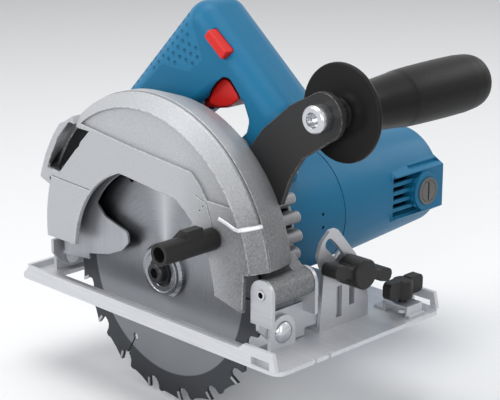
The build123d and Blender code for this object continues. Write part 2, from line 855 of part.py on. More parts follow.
# Screws that hold the two guard halves together, driven in from the back
def screw_y(x, z, tip, seat, head_length=3.0):
    """A screw along Y with its head beyond seat; tip may lie on either side of it."""
    outward = 1 if seat > tip else -1
    shank = rod_y(x, z, screw_radius, *sorted((tip, seat)))
    head = rod_y(x, z, screw_head_radius, *sorted((seat, seat + outward * head_length)))
    socket_start = seat + outward * (head_length - 1.6)
    socket = rod_y(x, z, 1.6, *sorted((socket_start, seat + outward * (head_length + 1))))
    return shank + head - socket


# Spindle, gear, flanges, blade and bolt
bolt_tip = bolt_length - blade_half - outer_flange_thickness
outer_flange_front = -blade_half - outer_flange_thickness
inner_flange_rear = blade_half + flange_thickness
spindle_front = -blade_half + 0.3
rear_bearing_rear = bearing_plate_front + rear_bearing_width


def spindle():
    bar = rod_y(0, arbor_height, spindle_radius, spindle_front, bearing_plate_front - 0.2)
    bar += rod_y(0, arbor_height, spindle_rear_radius, spindle_front + 10, rear_bearing_rear + 1)
    bar -= rod_y(0, arbor_height, bolt_radius + seat_fit, spindle_front - 1, bolt_tip + 1)
    hole = lock_pin_radius + sliding_play
    bar -= rod_lock(hole, -spindle_radius - 1, spindle_radius + 1)
    bar -= rod_z(0, lock_y, hole, arbor_height - spindle_radius - 1, arbor_height + spindle_radius + 1)
    return bar


def inner_flange():
    rear_hub = rod_y(0, arbor_height, 9.0, inner_flange_rear, back_plate_front)
    disc = rod_y(0, arbor_height, inner_flange_radius, blade_half, inner_flange_rear)
    disc -= rod_y(0, arbor_height, inner_flange_radius - 5, blade_half - 1, blade_half + 0.8)
    pilot = rod_y(0, arbor_height, blade_bore_radius - seat_fit, spindle_front, inner_flange_rear)
    return disc + rear_hub + pilot - rod_y(0, arbor_height, spindle_radius, -20, 20)


def outer_flange():
    disc = spun_y(
        0, arbor_height,
        (0, -blade_half), (outer_flange_radius, -blade_half), (outer_flange_radius, -blade_half - 2.2),
        (outer_flange_radius - 2, -blade_half - 3.2), (outer_flange_radius - 2, outer_flange_front),
        (outer_flange_radius - 3.6, outer_flange_front), (outer_flange_radius - 5, outer_flange_front + 0.8),
        (bolt_head_radius + 1, outer_flange_front + 0.8), (bolt_head_radius + 0.4, outer_flange_front + 1.6),
        (0, outer_flange_front + 1.6),
    )
    flat = outer_flange_radius - 2.6
    limit = Pos(0, arbor_height) * Rectangle(3 * outer_flange_radius, 2 * flat)
    disc &= across(limit, -30, 30)
    return disc - rod_y(0, arbor_height, bolt_radius + sliding_play, -30, 30)


def blade_bolt():
    seat = outer_flange_front + 1.6
    shank = rod_y(0, arbor_height, bolt_radius, seat, bolt_tip)
    flange = rod_y(0, arbor_height, bolt_head_radius, seat - 1.8, seat)
    head = rod_y(0, arbor_height, bolt_head_radius - 2.2, seat - bolt_head_height, seat - 1.8)
    head = chamfer(head.edges().sort_by(Axis.Y)[0], 0.7)
    hexagon = Pos(0, arbor_height) * RegularPolygon(socket_radius, 6)
    return shank + flange + head - across(hexagon, seat - bolt_head_height - 1, seat - bolt_head_height + 4)


def tooth_angles():
    return [first_tooth_angle + 360.0 / tooth_count * i for i in range(tooth_count)]


def blade_outline():
    """Each tooth has its face towards rising angles, a round gullet and a long back."""
    pitch = 360.0 / tooth_count
    root = blade_radius - gullet_depth
    points = []
    for angle in tooth_angles():
        points += [
            polar(blade_radius - 0.5, angle - 1.6, 0, arbor_height),
            polar(blade_radius, angle, 0, arbor_height),
            polar(blade_radius - tip_height, angle - 0.9, 0, arbor_height),
            polar(root + 0.3, angle - 0.2, 0, arbor_height),
            polar(root, angle + 1.7, 0, arbor_height),
            polar(root + 0.6, angle + 3.5, 0, arbor_height),
            polar(root + 2.6, angle + 4.9, 0, arbor_height),
            polar(blade_radius - 1.9, angle + 5.9, 0, arbor_height),
            polar(blade_radius - 1.3, angle + 7.2, 0, arbor_height),
            polar(blade_radius - 2.6, angle + 9.2, 0, arbor_height),
            polar(blade_radius - 2.2, angle + 0.72 * pitch, 0, arbor_height),
        ]
    return outline(*points)


def tip_outline(angle):
    """Carbide tip behind the tooth face, which leans forward by the rake angle."""
    face = outline((0, 0), (tip_thickness, -0.6), (tip_thickness, -tip_height), (0, -tip_height))
    corner = polar(blade_radius, angle, 0, arbor_height)
    return Pos(*corner) * Rot(0, 0, angle - 90 + rake_angle) * face


def saw_blade():
    face = blade_outline() - Pos(0, arbor_height) * Circle(blade_bore_radius)
    pitch = 360.0 / tooth_count
    for i in range(relief_slot_count):
        angle = first_tooth_angle + 1.7 + pitch * round(tooth_count * (i + 0.28) / relief_slot_count)
        root = blade_radius - gullet_depth
        keyhole = Rectangle(relief_slot_length + 4, relief_slot_width)
        keyhole = Pos(root - relief_slot_length / 2 + 2, 0) * keyhole
        keyhole += Pos(root - relief_slot_length, 0) * Circle(relief_hole_radius)
        face -= Pos(0, arbor_height) * Rot(0, 0, angle) * keyhole
    for angle in tooth_angles():
        face -= tip_outline(angle)
    return across(face, -blade_half, blade_half)


gear_phase = mesh_angle
pinion_phase = mesh_angle + 180 + 180.0 / pinion_teeth
spindle_gear_outline = Pos(0, arbor_height) * (gear_outline(gear_teeth, gear_phase) - Circle(spindle_radius))
pieces["spindle"] = spindle()
pieces["spindle_gear"] = across(spindle_gear_outline, gear_front, gear_front + gear_width)
pieces["inner_flange"] = inner_flange()
pieces["outer_flange"] = outer_flange()
pieces["blade_bolt"] = blade_bolt()
pieces["saw_blade"] = saw_blade()
pieces["carbide_tips"] = group(
    [across(tip_outline(angle), -tip_width / 2, tip_width / 2) for angle in tooth_angles()]
)


# Bearings and the plate that closes the gear case
armature_bearing_front = bearing_plate_front + 1.5
armature_bearing_rear = armature_bearing_front + armature_bearing_width
rear_motor_bearing_front = motor_end - end_wall + 2
rear_motor_bearing_rear = rear_motor_bearing_front + rear_motor_bearing_width


def bearing(x, z, outer, inner, y0, y1):
    """Races with the shield set back between them."""
    ring = ring_y(x, z, outer, inner + running_fit, y0, y1)
    gap = outer - inner
    for start, end in ((y0 - 1, y0 + 0.6), (y1 - 0.6, y1 + 1)):
        ring -= ring_y(x, z, outer - 0.28 * gap, inner + 0.28 * gap, start, end)
    return ring


def bearing_plate():
    rear = bearing_plate_front + bearing_plate_depth
    plate = rod_y(motor_axis_x, motor_axis_z, case_ring_inner - seat_fit, bearing_plate_front, rear)
    plate -= rod_y(motor_axis_x, motor_axis_z, shaft_radius + 1.5, bearing_plate_front - 1, rear + 1)
    plate -= rod_y(motor_axis_x, motor_axis_z, armature_bearing_radius, armature_bearing_front, rear + 1)
    plate -= rod_y(0, arbor_height, rear_bearing_radius, bearing_plate_front - 1, rear_bearing_rear)
    plate -= rod_y(0, arbor_height, spindle_rear_radius + 1, rear_bearing_rear - 1, rear_bearing_rear + 2)
    return plate


front_bearing_rear = back_plate_front + front_bearing_width
pieces["spindle_bearings"] = group([
    bearing(0, arbor_height, front_bearing_radius, spindle_radius, back_plate_front, front_bearing_rear),
    bearing(
        0, arbor_height, rear_bearing_radius, spindle_rear_radius,
        bearing_plate_front, rear_bearing_rear,
    ),
])
pieces["bearing_plate"] = bearing_plate()
pieces["armature_bearings"] = group([
    bearing(
        motor_axis_x, motor_axis_z, armature_bearing_radius, shaft_radius,
        armature_bearing_front, armature_bearing_rear,
    ),
    bearing(
        motor_axis_x, motor_axis_z, rear_motor_bearing_radius, shaft_rear_radius,
        rear_motor_bearing_front, rear_motor_bearing_rear,
    ),
])


# Armature: shaft with pinion, core, windings, commutator, fan
def on_motor(outer, inner, y0, y1):
    return ring_y(motor_axis_x, motor_axis_z, outer, inner, y0, y1)


def armature_shaft():
    pinion_front = gear_front - 0.3
    pinion_rear = gear_front + gear_width + 0.3
    pinion = Pos(motor_axis_x, motor_axis_z) * gear_outline(pinion_teeth, pinion_phase)
    shaft = across(pinion, pinion_front, pinion_rear)
    shaft += rod_y(motor_axis_x, motor_axis_z, shaft_radius, pinion_rear, rear_motor_bearing_front)
    shaft += rod_y(motor_axis_x, motor_axis_z, shaft_rear_radius, pinion_rear, rear_motor_bearing_rear)
    return shaft


def armature_windings():
    front = on_motor(core_radius - 3, shaft_radius + 2, core_start - winding_length, core_start)
    rear = on_motor(core_radius - 3, shaft_radius + 2, core_end, core_end + winding_length)
    return group([fillet(front.edges().filter_by(GeomType.CIRCLE).sort_by(Axis.Y)[:1], 1.5), rear])


def fan():
    rear = housing_end - 0.8
    front = rear - fan_depth
    wheel = on_motor(fan_radius, shaft_radius, rear - 1.6, rear)
    wheel += on_motor(shaft_radius + 5, shaft_radius, front, rear)
    for i in range(fan_blades):
        blade = Pos((fan_radius + shaft_radius + 4) / 2, 0) * Rectangle(fan_radius - shaft_radius - 5, 1.5)
        blade = Pos(motor_axis_x, motor_axis_z) * Rot(0, 0, 360.0 / fan_blades * i) * blade
        wheel += across(blade, front + 1, rear - 1)
    return wheel


pieces["armature_shaft"] = armature_shaft()
pieces["armature_core"] = on_motor(core_radius, shaft_radius, core_start, core_end)
pieces["armature_windings"] = armature_windings()
pieces["commutator"] = on_motor(
    commutator_radius, shaft_radius, commutator_start, commutator_start + commutator_length
)
pieces["fan"] = fan()


# Stator core and field coils
def coil_sector(inner, outer, half_angle, side):
    middle = 90 + 90 * side
    return sector(motor_axis_x, motor_axis_z, inner, outer, middle - half_angle, middle + half_angle)


def stator_core():
    bore = core_radius + air_gap
    face = Pos(motor_axis_x, motor_axis_z) * (Circle(housing_inner - 0.2) - Circle(bore))
    for side in (-1, 1):
        face -= coil_sector(bore - 1, bore + coil_depth + 0.3, coil_half_angle + 1, side)
    return across(face, core_start, core_end)


def field_coil(side):
    bore = core_radius + air_gap + 0.3
    coil = coil_sector(bore, bore + coil_depth - 0.3, coil_half_angle, side)
    return across(coil, core_start - coil_overhang, core_end + coil_overhang)


pieces["stator_core"] = stator_core()
pieces["field_coils"] = group([field_coil(side) for side in (-1, 1)])


# Motor housing: round case that narrows towards its end, brush pads, vents and brush bores
def case_body():
    return spun_y(
        motor_axis_x, motor_axis_z,
        (0, housing_end), (motor_radius, housing_end), (motor_radius, taper_start),
        (end_radius, motor_end - end_round), (end_radius - end_round, motor_end), (0, motor_end),
    )


def brush_pads():
    """Flats with sloping edges on both sides of the case, where the brushes go in."""
    corners = [(pad_reach, pad_half_height), (pad_slope_x, pad_slope_z)]
    corners += [(-x, z) for x, z in reversed(corners)]
    corners += [(-x, -z) for x, z in corners]
    block = across(Pos(motor_axis_x, motor_axis_z) * outline(*corners), pad_start, motor_end)
    front = block.faces().sort_by(Axis.Y)[0]
    rear = block.faces().sort_by(Axis.Y)[-1]
    return chamfer(front.edges() + rear.edges(), pad_bevel)


def motor_housing():
    case = case_body() + brush_pads()
    for x, z in lug_places():
        case += rod_y(x, z, lug_radius, housing_end, housing_end + lug_length)
    inner_end = motor_end - end_wall
    coil_end = core_end + coil_overhang + 3
    case -= rod_y(motor_axis_x, motor_axis_z, housing_inner, housing_end - 1, core_end + 1)
    case -= rod_y(motor_axis_x, motor_axis_z, housing_inner - 2.5, core_end, coil_end)
    case -= rod_y(motor_axis_x, motor_axis_z, end_radius - 5, coil_end - 1, inner_end)
    bay = pad_reach - 4
    bay_z = pad_half_height - 2
    case -= brick(
        motor_axis_x - bay, motor_axis_x + bay, pad_start + 5, inner_end,
        motor_axis_z - bay_z, motor_axis_z + bay_z,
    )
    seat_end = rear_motor_bearing_rear + 0.3
    case -= rod_y(motor_axis_x, motor_axis_z, rear_motor_bearing_radius, inner_end - 1, seat_end)
    for x, z in lug_places():
        case -= rod_y(x, z, screw_radius + seat_fit, housing_end - 1, housing_end + lug_length + 1)
        case -= rod_y(x, z, screw_head_radius + 0.2, housing_end + lug_length, housing_end + lug_length + 4)
    for side in (-1, 1):
        near, far = sorted((motor_axis_x + side * (bay - 1), motor_axis_x + side * (motor_radius + 3)))
        for row in range(vent_rows):
            z = motor_axis_z + vent_pitch * (row - (vent_rows - 1) / 2)
            case -= brick(near, far, vent_start, vent_end, z - vent_height / 2, z + vent_height / 2)
        case += brush_bore(side, brush_cap_radius + 3.5, motor_radius - 11, motor_radius - 0.4)
        case -= brush_bore(side, brush_cap_radius + running_fit, motor_radius - 12, motor_radius + 2)
    return case


def brush_bore(side, radius, near, far):
    ends = sorted((motor_axis_x + side * near, motor_axis_x + side * far))
    return rod_x(brush_y, motor_axis_z, radius, *ends)


def brush_cap(side):
    cap = brush_bore(side, brush_cap_radius, motor_radius - brush_cap_depth, motor_radius + 0.6)
    face_x = motor_axis_x + side * (motor_radius + 0.6)
    slot_ends = sorted((face_x - side * 1.6, face_x + side))
    slot = brick(*slot_ends, brush_y - 0.9, brush_y + 0.9, motor_axis_z - 6.0, motor_axis_z + 6.0)
    return cap - slot


def brush_channel(side, near, far, play):
    ends = sorted((motor_axis_x + side * near, motor_axis_x + side * far))
    half_y = brush_width / 2 + play
    half_z = brush_height / 2 + play
    return brick(*ends, brush_y - half_y, brush_y + half_y, motor_axis_z - half_z, motor_axis_z + half_z)


holder_outer = motor_radius - brush_cap_depth - 0.2


def brush_holder(side):
    holder = brush_bore(side, brush_cap_radius - 0.1, motor_radius - 11, holder_outer)
    holder += brush_channel(side, commutator_radius + 1.5, holder_outer, 1.5)
    return holder - brush_channel(side, commutator_radius, holder_outer + 1, 0.1)


pieces["motor_housing"] = motor_housing()
pieces["brush_caps"] = group([brush_cap(side) for side in (-1, 1)])
pieces["brush_holders"] = group([brush_holder(side) for side in (-1, 1)])
pieces["carbon_brushes"] = group(
    [brush_channel(side, commutator_radius + 0.3, commutator_radius + 14, 0) for side in (-1, 1)]
)
pieces["motor_screws"] = group(
    [screw_y(x, z, housing_end - lug_length, housing_end + lug_length) for x, z in lug_places()]
)


# Handle: two half shells joined in the middle plane, rounded like a tube
grip_low = (-62.7, 120.7)
grip_high = (-1.7, 182.7)
grip_angle = degrees(atan2(grip_high[1] - grip_low[1], grip_high[0] - grip_low[0]))
handle_rear_x = -78.0


def handle_body_outline():
    face = outline((-24, 54), (-82, 101), (5, 189), (74, 131.5), (80, 108), (38, 68))
    return fillet(face.vertices(), handle_round + 1)


def handle_loop_outline():
    face = outline((-30, 97), (24, 137), (34, 136), (44, 130), (48, 121), (46, 114), (27, 97))
    return fillet(face.vertices(), 5.0)


def handle_solid(inset=0.0):
    """The whole handle as one rounded body, or the same body shrunk by inset."""
    near = handle_right_y + inset
    far = handle_left_y - inset
    body = handle_body_outline()
    loop = handle_loop_outline()
    if inset > 0:
        body = offset(body, amount=-inset)
        loop = offset(loop, amount=inset)
    solid = across(body, near, far)
    rims = [edge for edge in solid.edges() if abs(edge.center().Y - handle_y) > far - handle_y - 0.1]
    solid = fillet(rims, handle_round - inset)
    hole = across(loop, near - 1, far + 1)
    solid -= hole
    rims = [edge for edge in solid.edges() if on_loop_rim(edge, near, far, loop)]
    return fillet(rims, loop_round)


def on_loop_rim(edge, near, far, loop):
    middle = edge.center()
    at_rim = min(abs(middle.Y - near), abs(middle.Y - far)) < 0.05
    box = loop.bounding_box()
    inside_x = box.min.X - 0.5 < middle.X < box.max.X + 0.5
    inside_z = box.min.Y - 0.5 < middle.Z < box.max.Y + 0.5
    return at_rim and inside_x and inside_z


def trigger_outline():
    return outline(
        (10, 155), (19, 153), (21, 146), (21, 140), (30, 132.5), (30.5, 129), (22, 122.5), (12, 120.5),
        (0, 120), (-12, 127), (-2, 140),
    )


trigger_pivot = (14.0, 150.0)


def trigger_bay():
    bay = outline((5, 160), (26, 158), (30, 148), (34, 132), (30, 120), (-6, 113), (-20, 124), (-10, 146))
    half = trigger_half_width + trigger_gap
    return across(bay, handle_y - half, handle_y + half)


def grip_pad():
    """Soft cover over the back of the grip, let into both shells."""
    zone = outline(
        (-100, 114), (-56, 114), (-22.6, 143.2), (0.8, 142), (12.9, 150.8), (4.3, 171.6),
        (0, 200), (-100, 200),
    )
    pad = handle_solid() - handle_solid(grip_pad_depth)
    pad &= across(zone, handle_right_y - 1, handle_left_y + 1)
    for x, z in handle_screw_places():
        pad -= rod_y(x, z, screw_head_radius + 0.2, handle_left_y - handle_head_depth, handle_left_y + 1)
    return pad


def handle_screw_places():
    return [(-54.0, 91.0), (-36.0, 124.0), (6.0, 168.0), (63.0, 122.0), (44.0, 143.0)]


def button_outline(grow=0.0):
    bar = RectangleRounded(button_length + 2 * grow, button_width + 2 * grow, 1.2)
    return Pos(25.6, 162.5) * Rot(0, 0, -38) * bar


def handle_half(side):
    """Side is -1 for the right half, next to the guard, and +1 for the left half."""
    outer_y = handle_y + side * handle_half_width
    wall_y = outer_y - side * handle_wall
    half_space = brick(-200, 200, *sorted((handle_y, outer_y + side)), 0, 300)
    shell = handle_solid() & half_space
    for inset, depth in ((handle_wall, 0.75 * handle_round), (0.65 * handle_round, handle_wall)):
        cavity = offset(handle_body_outline(), amount=-inset) - offset(handle_loop_outline(), amount=inset)
        shell -= across(cavity, *sorted((handle_y - side, outer_y - side * depth)))
    for x, z in handle_screw_places():
        shell += rod_y(x, z, screw_head_radius + 1.6, *sorted((handle_y, wall_y)))
    shell += rod_y(*trigger_pivot, 4.0, *sorted((handle_y, wall_y)))
    for x, z in handle_boss_places():
        if side < 0:
            shell += rod_y(x, z, screw_head_radius + 1.6, handle_right_y, handle_right_y + 8)
    bush_end = handle_rear_x + cord_bush_length
    neck = rod_x(handle_y, cord_z, cord_bush_radius + 3.5, handle_rear_x, bush_end + 3)
    shell += neck & half_space
    shell -= rod_y(motor_axis_x, motor_axis_z, motor_radius + sliding_play, 0, motor_end)
    for x, z in lug_places():
        shell -= rod_y(x, z, lug_radius + sliding_play, 0, motor_end)
        shell -= rod_y(x, z, screw_head_radius + sliding_play, 0, motor_end)
    for x, z in handle_screw_places():
        shell -= rod_y(x, z, screw_radius + seat_fit, handle_right_y + handle_wall + 1, handle_left_y)
        shell -= rod_y(x, z, screw_head_radius + 0.2, handle_left_y - handle_head_depth, handle_left_y + 1)
    for x, z in handle_boss_places():
        shell -= rod_y(x, z, screw_radius + seat_fit, handle_right_y - 1, handle_right_y + 9)
        shell -= rod_y(x, z, screw_head_radius + 0.2, handle_right_y + 8, handle_right_y + 13)
    shell -= trigger_pin(seat_fit)
    shell -= trigger_bay()
    shell -= grip_pad()
    shell -= rod_x(handle_y, cord_z, cord_bush_radius, handle_rear_x - 1, bush_end)
    shell -= rod_x(handle_y, cord_z, cord_bore_radius + 1, bush_end - 1, bush_end + 6)
    shell -= across(button_outline(sliding_play), handle_right_y - 1, handle_y)
    return shell


def handle_screw(x, z):
    return screw_y(x, z, handle_right_y + handle_wall + 2, handle_left_y - handle_head_depth, 2.8)


def cord_bush():
    ring = Pos(handle_y, cord_z) * (Circle(cord_bush_radius) - Circle(cord_bore_radius))
    collar = Pos(handle_y, cord_z) * (Circle(cord_bush_radius + 1.5) - Circle(cord_bore_radius))
    body = forward(ring, handle_rear_x, handle_rear_x + cord_bush_length)
    return body + forward(collar, handle_rear_x - 1.5, handle_rear_x)


def switch_body():
    middle = (-17.2, 146.0)
    box = Pos(*middle) * Rot(0, 0, grip_angle) * Rectangle(32, 12)
    half = handle_half_width - handle_wall - sliding_play
    return across(box, handle_y - half, handle_y + half)


def trigger():
    paddle = across(trigger_outline(), handle_y - trigger_half_width, handle_y + trigger_half_width)
    return paddle - rod_y(*trigger_pivot, trigger_pin_radius + running_fit, 0, motor_end)


def trigger_pin(grow=0.0):
    half = handle_half_width - handle_wall - sliding_play + grow
    return rod_y(*trigger_pivot, trigger_pin_radius + grow, handle_y - half, handle_y + half)


def lock_off_button():
    front = handle_right_y - button_rise
    return across(button_outline(), front, front + 12)


pieces["handle_right"] = handle_half(-1)
pieces["handle_left"] = handle_half(1)
pieces["grip_pad"] = grip_pad()
pieces["handle_screws"] = group(
    [handle_screw(x, z) for x, z in handle_screw_places()]
    + [screw_y(x, z, back_plate_rear + 0.5, handle_right_y + 8, 2.8) for x, z in handle_boss_places()]
)
pieces["cord_bush"] = cord_bush()
pieces["switch_body"] = switch_body()
pieces["trigger"] = trigger()
pieces["trigger_pin"] = trigger_pin()
pieces["lock_off_button"] = lock_off_button()


# Auxiliary handle: steel arm on the gear housing, bolt, spacer, grip with hand disc
def aux_arm():
    face = outline(
        (54, 92), (52, 101), (68, 121), (90, 139), (aux_x - 5, aux_z + 13), (aux_x, aux_z),
        (aux_x + 5, aux_z - 13), (99, 110), (90, 97), (83, 80), (70, 77),
    )
    face = fillet(face.vertices().sort_by(Axis.X)[:3], 5.0)
    arm = across(face, aux_arm_front, aux_arm_rear)
    arm += rod_y(aux_x, aux_z, aux_arm_end_radius, aux_arm_front, aux_arm_rear)
    arm -= rod_y(aux_x, aux_z, aux_bolt_radius + seat_fit, aux_arm_front - 1, aux_arm_rear + 1)
    for x, z in aux_screw_places():
        arm -= rod_y(x, z, screw_radius + seat_fit, aux_arm_front - 1, aux_arm_rear + 1)
    return arm


aux_spacer_end = aux_arm_rear + aux_spacer_length
aux_grip_front = aux_spacer_end + 2.0
aux_thread = 45.0


def aux_bolt():
    head = rod_y(aux_x, aux_z, aux_bolt_head_radius, aux_arm_front - aux_bolt_head_height, aux_arm_front)
    head = chamfer(head.edges().sort_by(Axis.Y)[0], 1.0)
    shank = rod_y(aux_x, aux_z, aux_bolt_radius, aux_arm_front, aux_grip_front + aux_thread)
    socket = rod_y(aux_x, aux_z, 4.2, aux_arm_front - aux_bolt_head_height - 1, aux_arm_front - 4)
    return head + shank - socket


def aux_spacer():
    return spun_y(
        aux_x, aux_z,
        (aux_bolt_radius + seat_fit, aux_arm_rear), (12, aux_arm_rear), (12, aux_arm_rear + 2.5),
        (10, aux_spacer_end - 1.5), (8, aux_spacer_end), (aux_bolt_radius + seat_fit, aux_spacer_end),
    )


def aux_grip():
    start = aux_grip_front
    disc_end = start + aux_disc_thickness
    end = start + aux_grip_length
    grip = spun_y(
        aux_x, aux_z,
        (0, aux_spacer_end), (7.5, aux_spacer_end), (9, start),
        (aux_disc_radius, start + 0.8), (aux_disc_radius, disc_end - 0.4),
        (aux_grip_radius - 2, disc_end + 1), (aux_grip_radius - 2.5, start + 24),
        (aux_grip_radius, start + 48), (aux_grip_radius + 0.6, start + 70), (aux_grip_radius + 0.4, end - 9),
        (aux_grip_radius - 3, end - 1.5), (aux_grip_radius - 6, end), (0, end),
    )
    thread_end = aux_grip_front + aux_thread + 1
    return grip - rod_y(aux_x, aux_z, aux_bolt_radius + seat_fit, aux_spacer_end - 1, thread_end)


pieces["aux_arm"] = aux_arm()
guard_screw_tip = face_y + face_wall + 1.2
pieces["housing_screws"] = group(
    [screw_y(x, z, guard_screw_tip, back_plate_rear - flat_head, flat_head) for x, z in guard_screw_places()]
    + [screw_y(x, z, back_plate_front + 0.3, aux_arm_rear, flat_head) for x, z in aux_screw_places()]
)
pieces["aux_bolt"] = aux_bolt()
pieces["aux_spacer"] = aux_spacer()
pieces["aux_grip"] = aux_grip()


# Lower guard: channel about the blade, hub on the spindle boss, with its lever
def lower_guard():
    wall_inner = swing_radius - swing_wall
    arc = (swing_start_angle, swing_end_angle)
    wall = sector(0, arbor_height, wall_inner, swing_radius, *arc)
    guard = across(wall, swing_near_y, swing_far_y)
    near = sector(0, arbor_height, swing_web_inner, swing_radius, *arc)
    lever_pad = (swing_start_angle, swing_start_angle + 20)
    near += sector(0, arbor_height, lever_foot_inner - 2, swing_radius, *lever_pad)
    lobe = outline(
        (-68, 20), (-44, 25), (-31, 30.5), (-24.5, 37), (-25.5, 43.5), (-46, 49), (-54, 56), (-62, 62),
    )
    lobe = fillet(lobe.vertices().sort_by(Axis.X)[-3:], 3.0)
    near += lobe
    guard += across(near, swing_near_y, swing_near_y + swing_wall)
    hub = boss_radius + running_fit
    far = sector(0, arbor_height, hub + 2, swing_radius, *arc)
    far += Pos(0, arbor_height) * Circle(hub + swing_hub_width)
    far -= Pos(0, arbor_height) * Circle(hub)
    guard += across(far, swing_far_y - swing_wall, swing_far_y)
    hole = polar((lever_foot_inner + lever_foot_outer) / 2, lever_angle + 7, 0, arbor_height)
    return guard - rod_y(*hole, screw_radius + seat_fit, swing_near_y - 1, swing_near_y + 3)


def lever_screw():
    x, z = polar((lever_foot_inner + lever_foot_outer) / 2, lever_angle + 7, 0, arbor_height)
    return screw_y(x, z, face_y + 4, swing_near_y + swing_wall, 1.8)


def guard_lever():
    front = face_y - 1.5
    foot = sector(0, arbor_height, lever_foot_inner, lever_foot_outer, lever_angle, lever_angle + 13)
    lever = across(foot, front - 4, swing_near_y)
    arm = sector(0, arbor_height, lever_foot_inner, lever_radius, lever_angle - 4, lever_angle + 4)
    lever += across(arm, front - 4, front)
    x, z = polar(lever_radius, lever_angle, 0, arbor_height)
    tip = front - lever_tube_length
    lever += rod_y(x, z, lever_tube_radius, tip, front)
    rib = outline((x - 6, z), (x + 6, z), (x + 3, z + 9.5), (x - 3, z + 9.5))
    lever += across(rib, front - 22, front - 10)
    lever -= rod_y(x, z, lever_tube_bore, tip - 1, tip + 24)
    screw_x, screw_z = polar((lever_foot_inner + lever_foot_outer) / 2, lever_angle + 7, 0, arbor_height)
    return lever - rod_y(screw_x, screw_z, screw_radius + seat_fit, face_y + 3, swing_near_y + 1)


pieces["lower_guard"] = lower_guard()
pieces["guard_lever"] = guard_lever()
pieces["lever_screw"] = lever_screw()
pieces["guard_retainer"] = ring_y(
    0, arbor_height, boss_radius + 3, boss_radius, boss_front + 0.1, boss_front + 0.9
)
pieces["guard_spring"] = ring_y(
    0, arbor_height, boss_radius + 3.5, boss_radius + 0.3, swing_far_y + sliding_play, back_plate_front - 0.1
)


# Depth clamp: stud in the back plate, lever nut behind the guide
def depth_clamp_stud():
    return rod_y(stud_x, stud_z, stud_radius, back_plate_front, guide_rear + 1.5 + lever_hub_length)


def depth_clamp_lever():
    start = guide_rear + 0.3
    end = start + lever_hub_length
    face = Pos(stud_x, stud_z) * Circle(lever_hub_radius)
    angle = 175.0
    bar = Pos(lever_length / 2, 0) * SlotOverall(lever_length + 12, 11)
    face += Pos(stud_x, stud_z) * Rot(0, 0, angle) * bar
    lever = across(face, start, end)
    return lever - rod_y(stud_x, stud_z, stud_radius + running_fit, start - 1, end + 1)


pieces["depth_clamp_stud"] = depth_clamp_stud()
pieces["depth_clamp_lever"] = depth_clamp_lever()


# Spindle lock: button with a pin that enters the cross hole in the spindle
def spindle_lock_button():
    pin_tip = -spindle_radius - 0.4
    neck_rise = motor_axis_z - arbor_height - lock_head_radius
    neck_x = motor_axis_x - (motor_radius**2 - neck_rise**2) ** 0.5
    head_front = min(-case_radius, neck_x) - lock_travel - 0.5
    pin = rod_lock(lock_pin_radius, head_front, pin_tip)
    head = rod_lock(lock_head_radius, head_front - 6, head_front)
    return pin + chamfer(head.edges().sort_by(Axis.X)[0], 1.0)


pieces["spindle_lock_button"] = spindle_lock_button()

os.makedirs("parts", exist_ok=True)
for name, shape in pieces.items():
    export_step(shape, f"parts/{name}.step")
print(len(pieces), "nodes written")
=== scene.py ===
import json
from math import cos, pi, radians, sin

import bmesh
import bpy
from mathutils import Matrix, Vector
from mathutils.bvhtree import BVHTree


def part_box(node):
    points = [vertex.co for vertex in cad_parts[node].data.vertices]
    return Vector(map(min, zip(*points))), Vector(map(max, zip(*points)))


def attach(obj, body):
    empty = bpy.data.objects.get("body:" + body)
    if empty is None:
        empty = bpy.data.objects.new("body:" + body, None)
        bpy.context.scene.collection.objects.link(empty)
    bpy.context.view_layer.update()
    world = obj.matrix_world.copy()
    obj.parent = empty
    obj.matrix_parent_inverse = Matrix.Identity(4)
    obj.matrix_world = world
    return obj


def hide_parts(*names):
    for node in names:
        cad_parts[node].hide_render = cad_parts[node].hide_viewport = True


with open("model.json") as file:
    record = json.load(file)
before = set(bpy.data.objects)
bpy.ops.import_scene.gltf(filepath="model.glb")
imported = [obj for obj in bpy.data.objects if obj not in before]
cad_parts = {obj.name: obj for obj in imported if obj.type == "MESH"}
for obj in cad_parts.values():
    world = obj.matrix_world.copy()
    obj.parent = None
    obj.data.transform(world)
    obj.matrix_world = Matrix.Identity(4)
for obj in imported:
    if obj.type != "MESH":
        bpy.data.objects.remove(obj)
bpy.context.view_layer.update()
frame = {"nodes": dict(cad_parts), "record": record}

bl_info = {
    "name": "Circular saw dressing",
    "version": (1, 0, 0),
    "blender": (4, 5, 0),
    "location": "View3D > Sidebar > Saw",
    "description": "Gives the packed circular saw its castings, plastics, blade finish and studio",
    "category": "Object",
}

BODY_OF = {
    node: body
    for body, nodes in frame["record"]["behaviour"]["bodies"].items()
    for node in nodes
}

# Places that several finishes and cuts share, in metres; an axis along Y is given by its X and Z
ARBOR_Z = 0.024
GUARD_CENTRE_Z = 0.0365
MOTOR_AXIS = (0.012, 0.04593)
BRUSH_Y = 0.182
SIDE_GRIP_AXIS = (0.114, 0.136)
MATT_START = 0.0738

# Edge rounds of single pieces, in metres
HARDWARE_EDGE = 0.0003
PLATE_EDGE = 0.001
BLADE_EDGE = 0.0001
TIP_EDGE = 0.00012
PAD_EDGE = 0.0009
TRIGGER_EDGE = 0.0014
SIDE_ROUND = 0.0013
BUTTON_EDGE = 0.0009
BUSH_EDGE = 0.0006
CAP_EDGE = 0.0004
LOCK_EDGE = 0.0005
ARM_EDGE = 0.0005
SPACER_EDGE = 0.0006

# Edges sharper than these angles, in degrees, are rounded
CASTING_ANGLE = 25.0
SHELL_ANGLE = 40.0

# Bare metal on worn casting edges, which also serves as a painted edge highlight
CAST_WEAR_AND_HIGHLIGHT = (0.86, 0.87, 0.88)

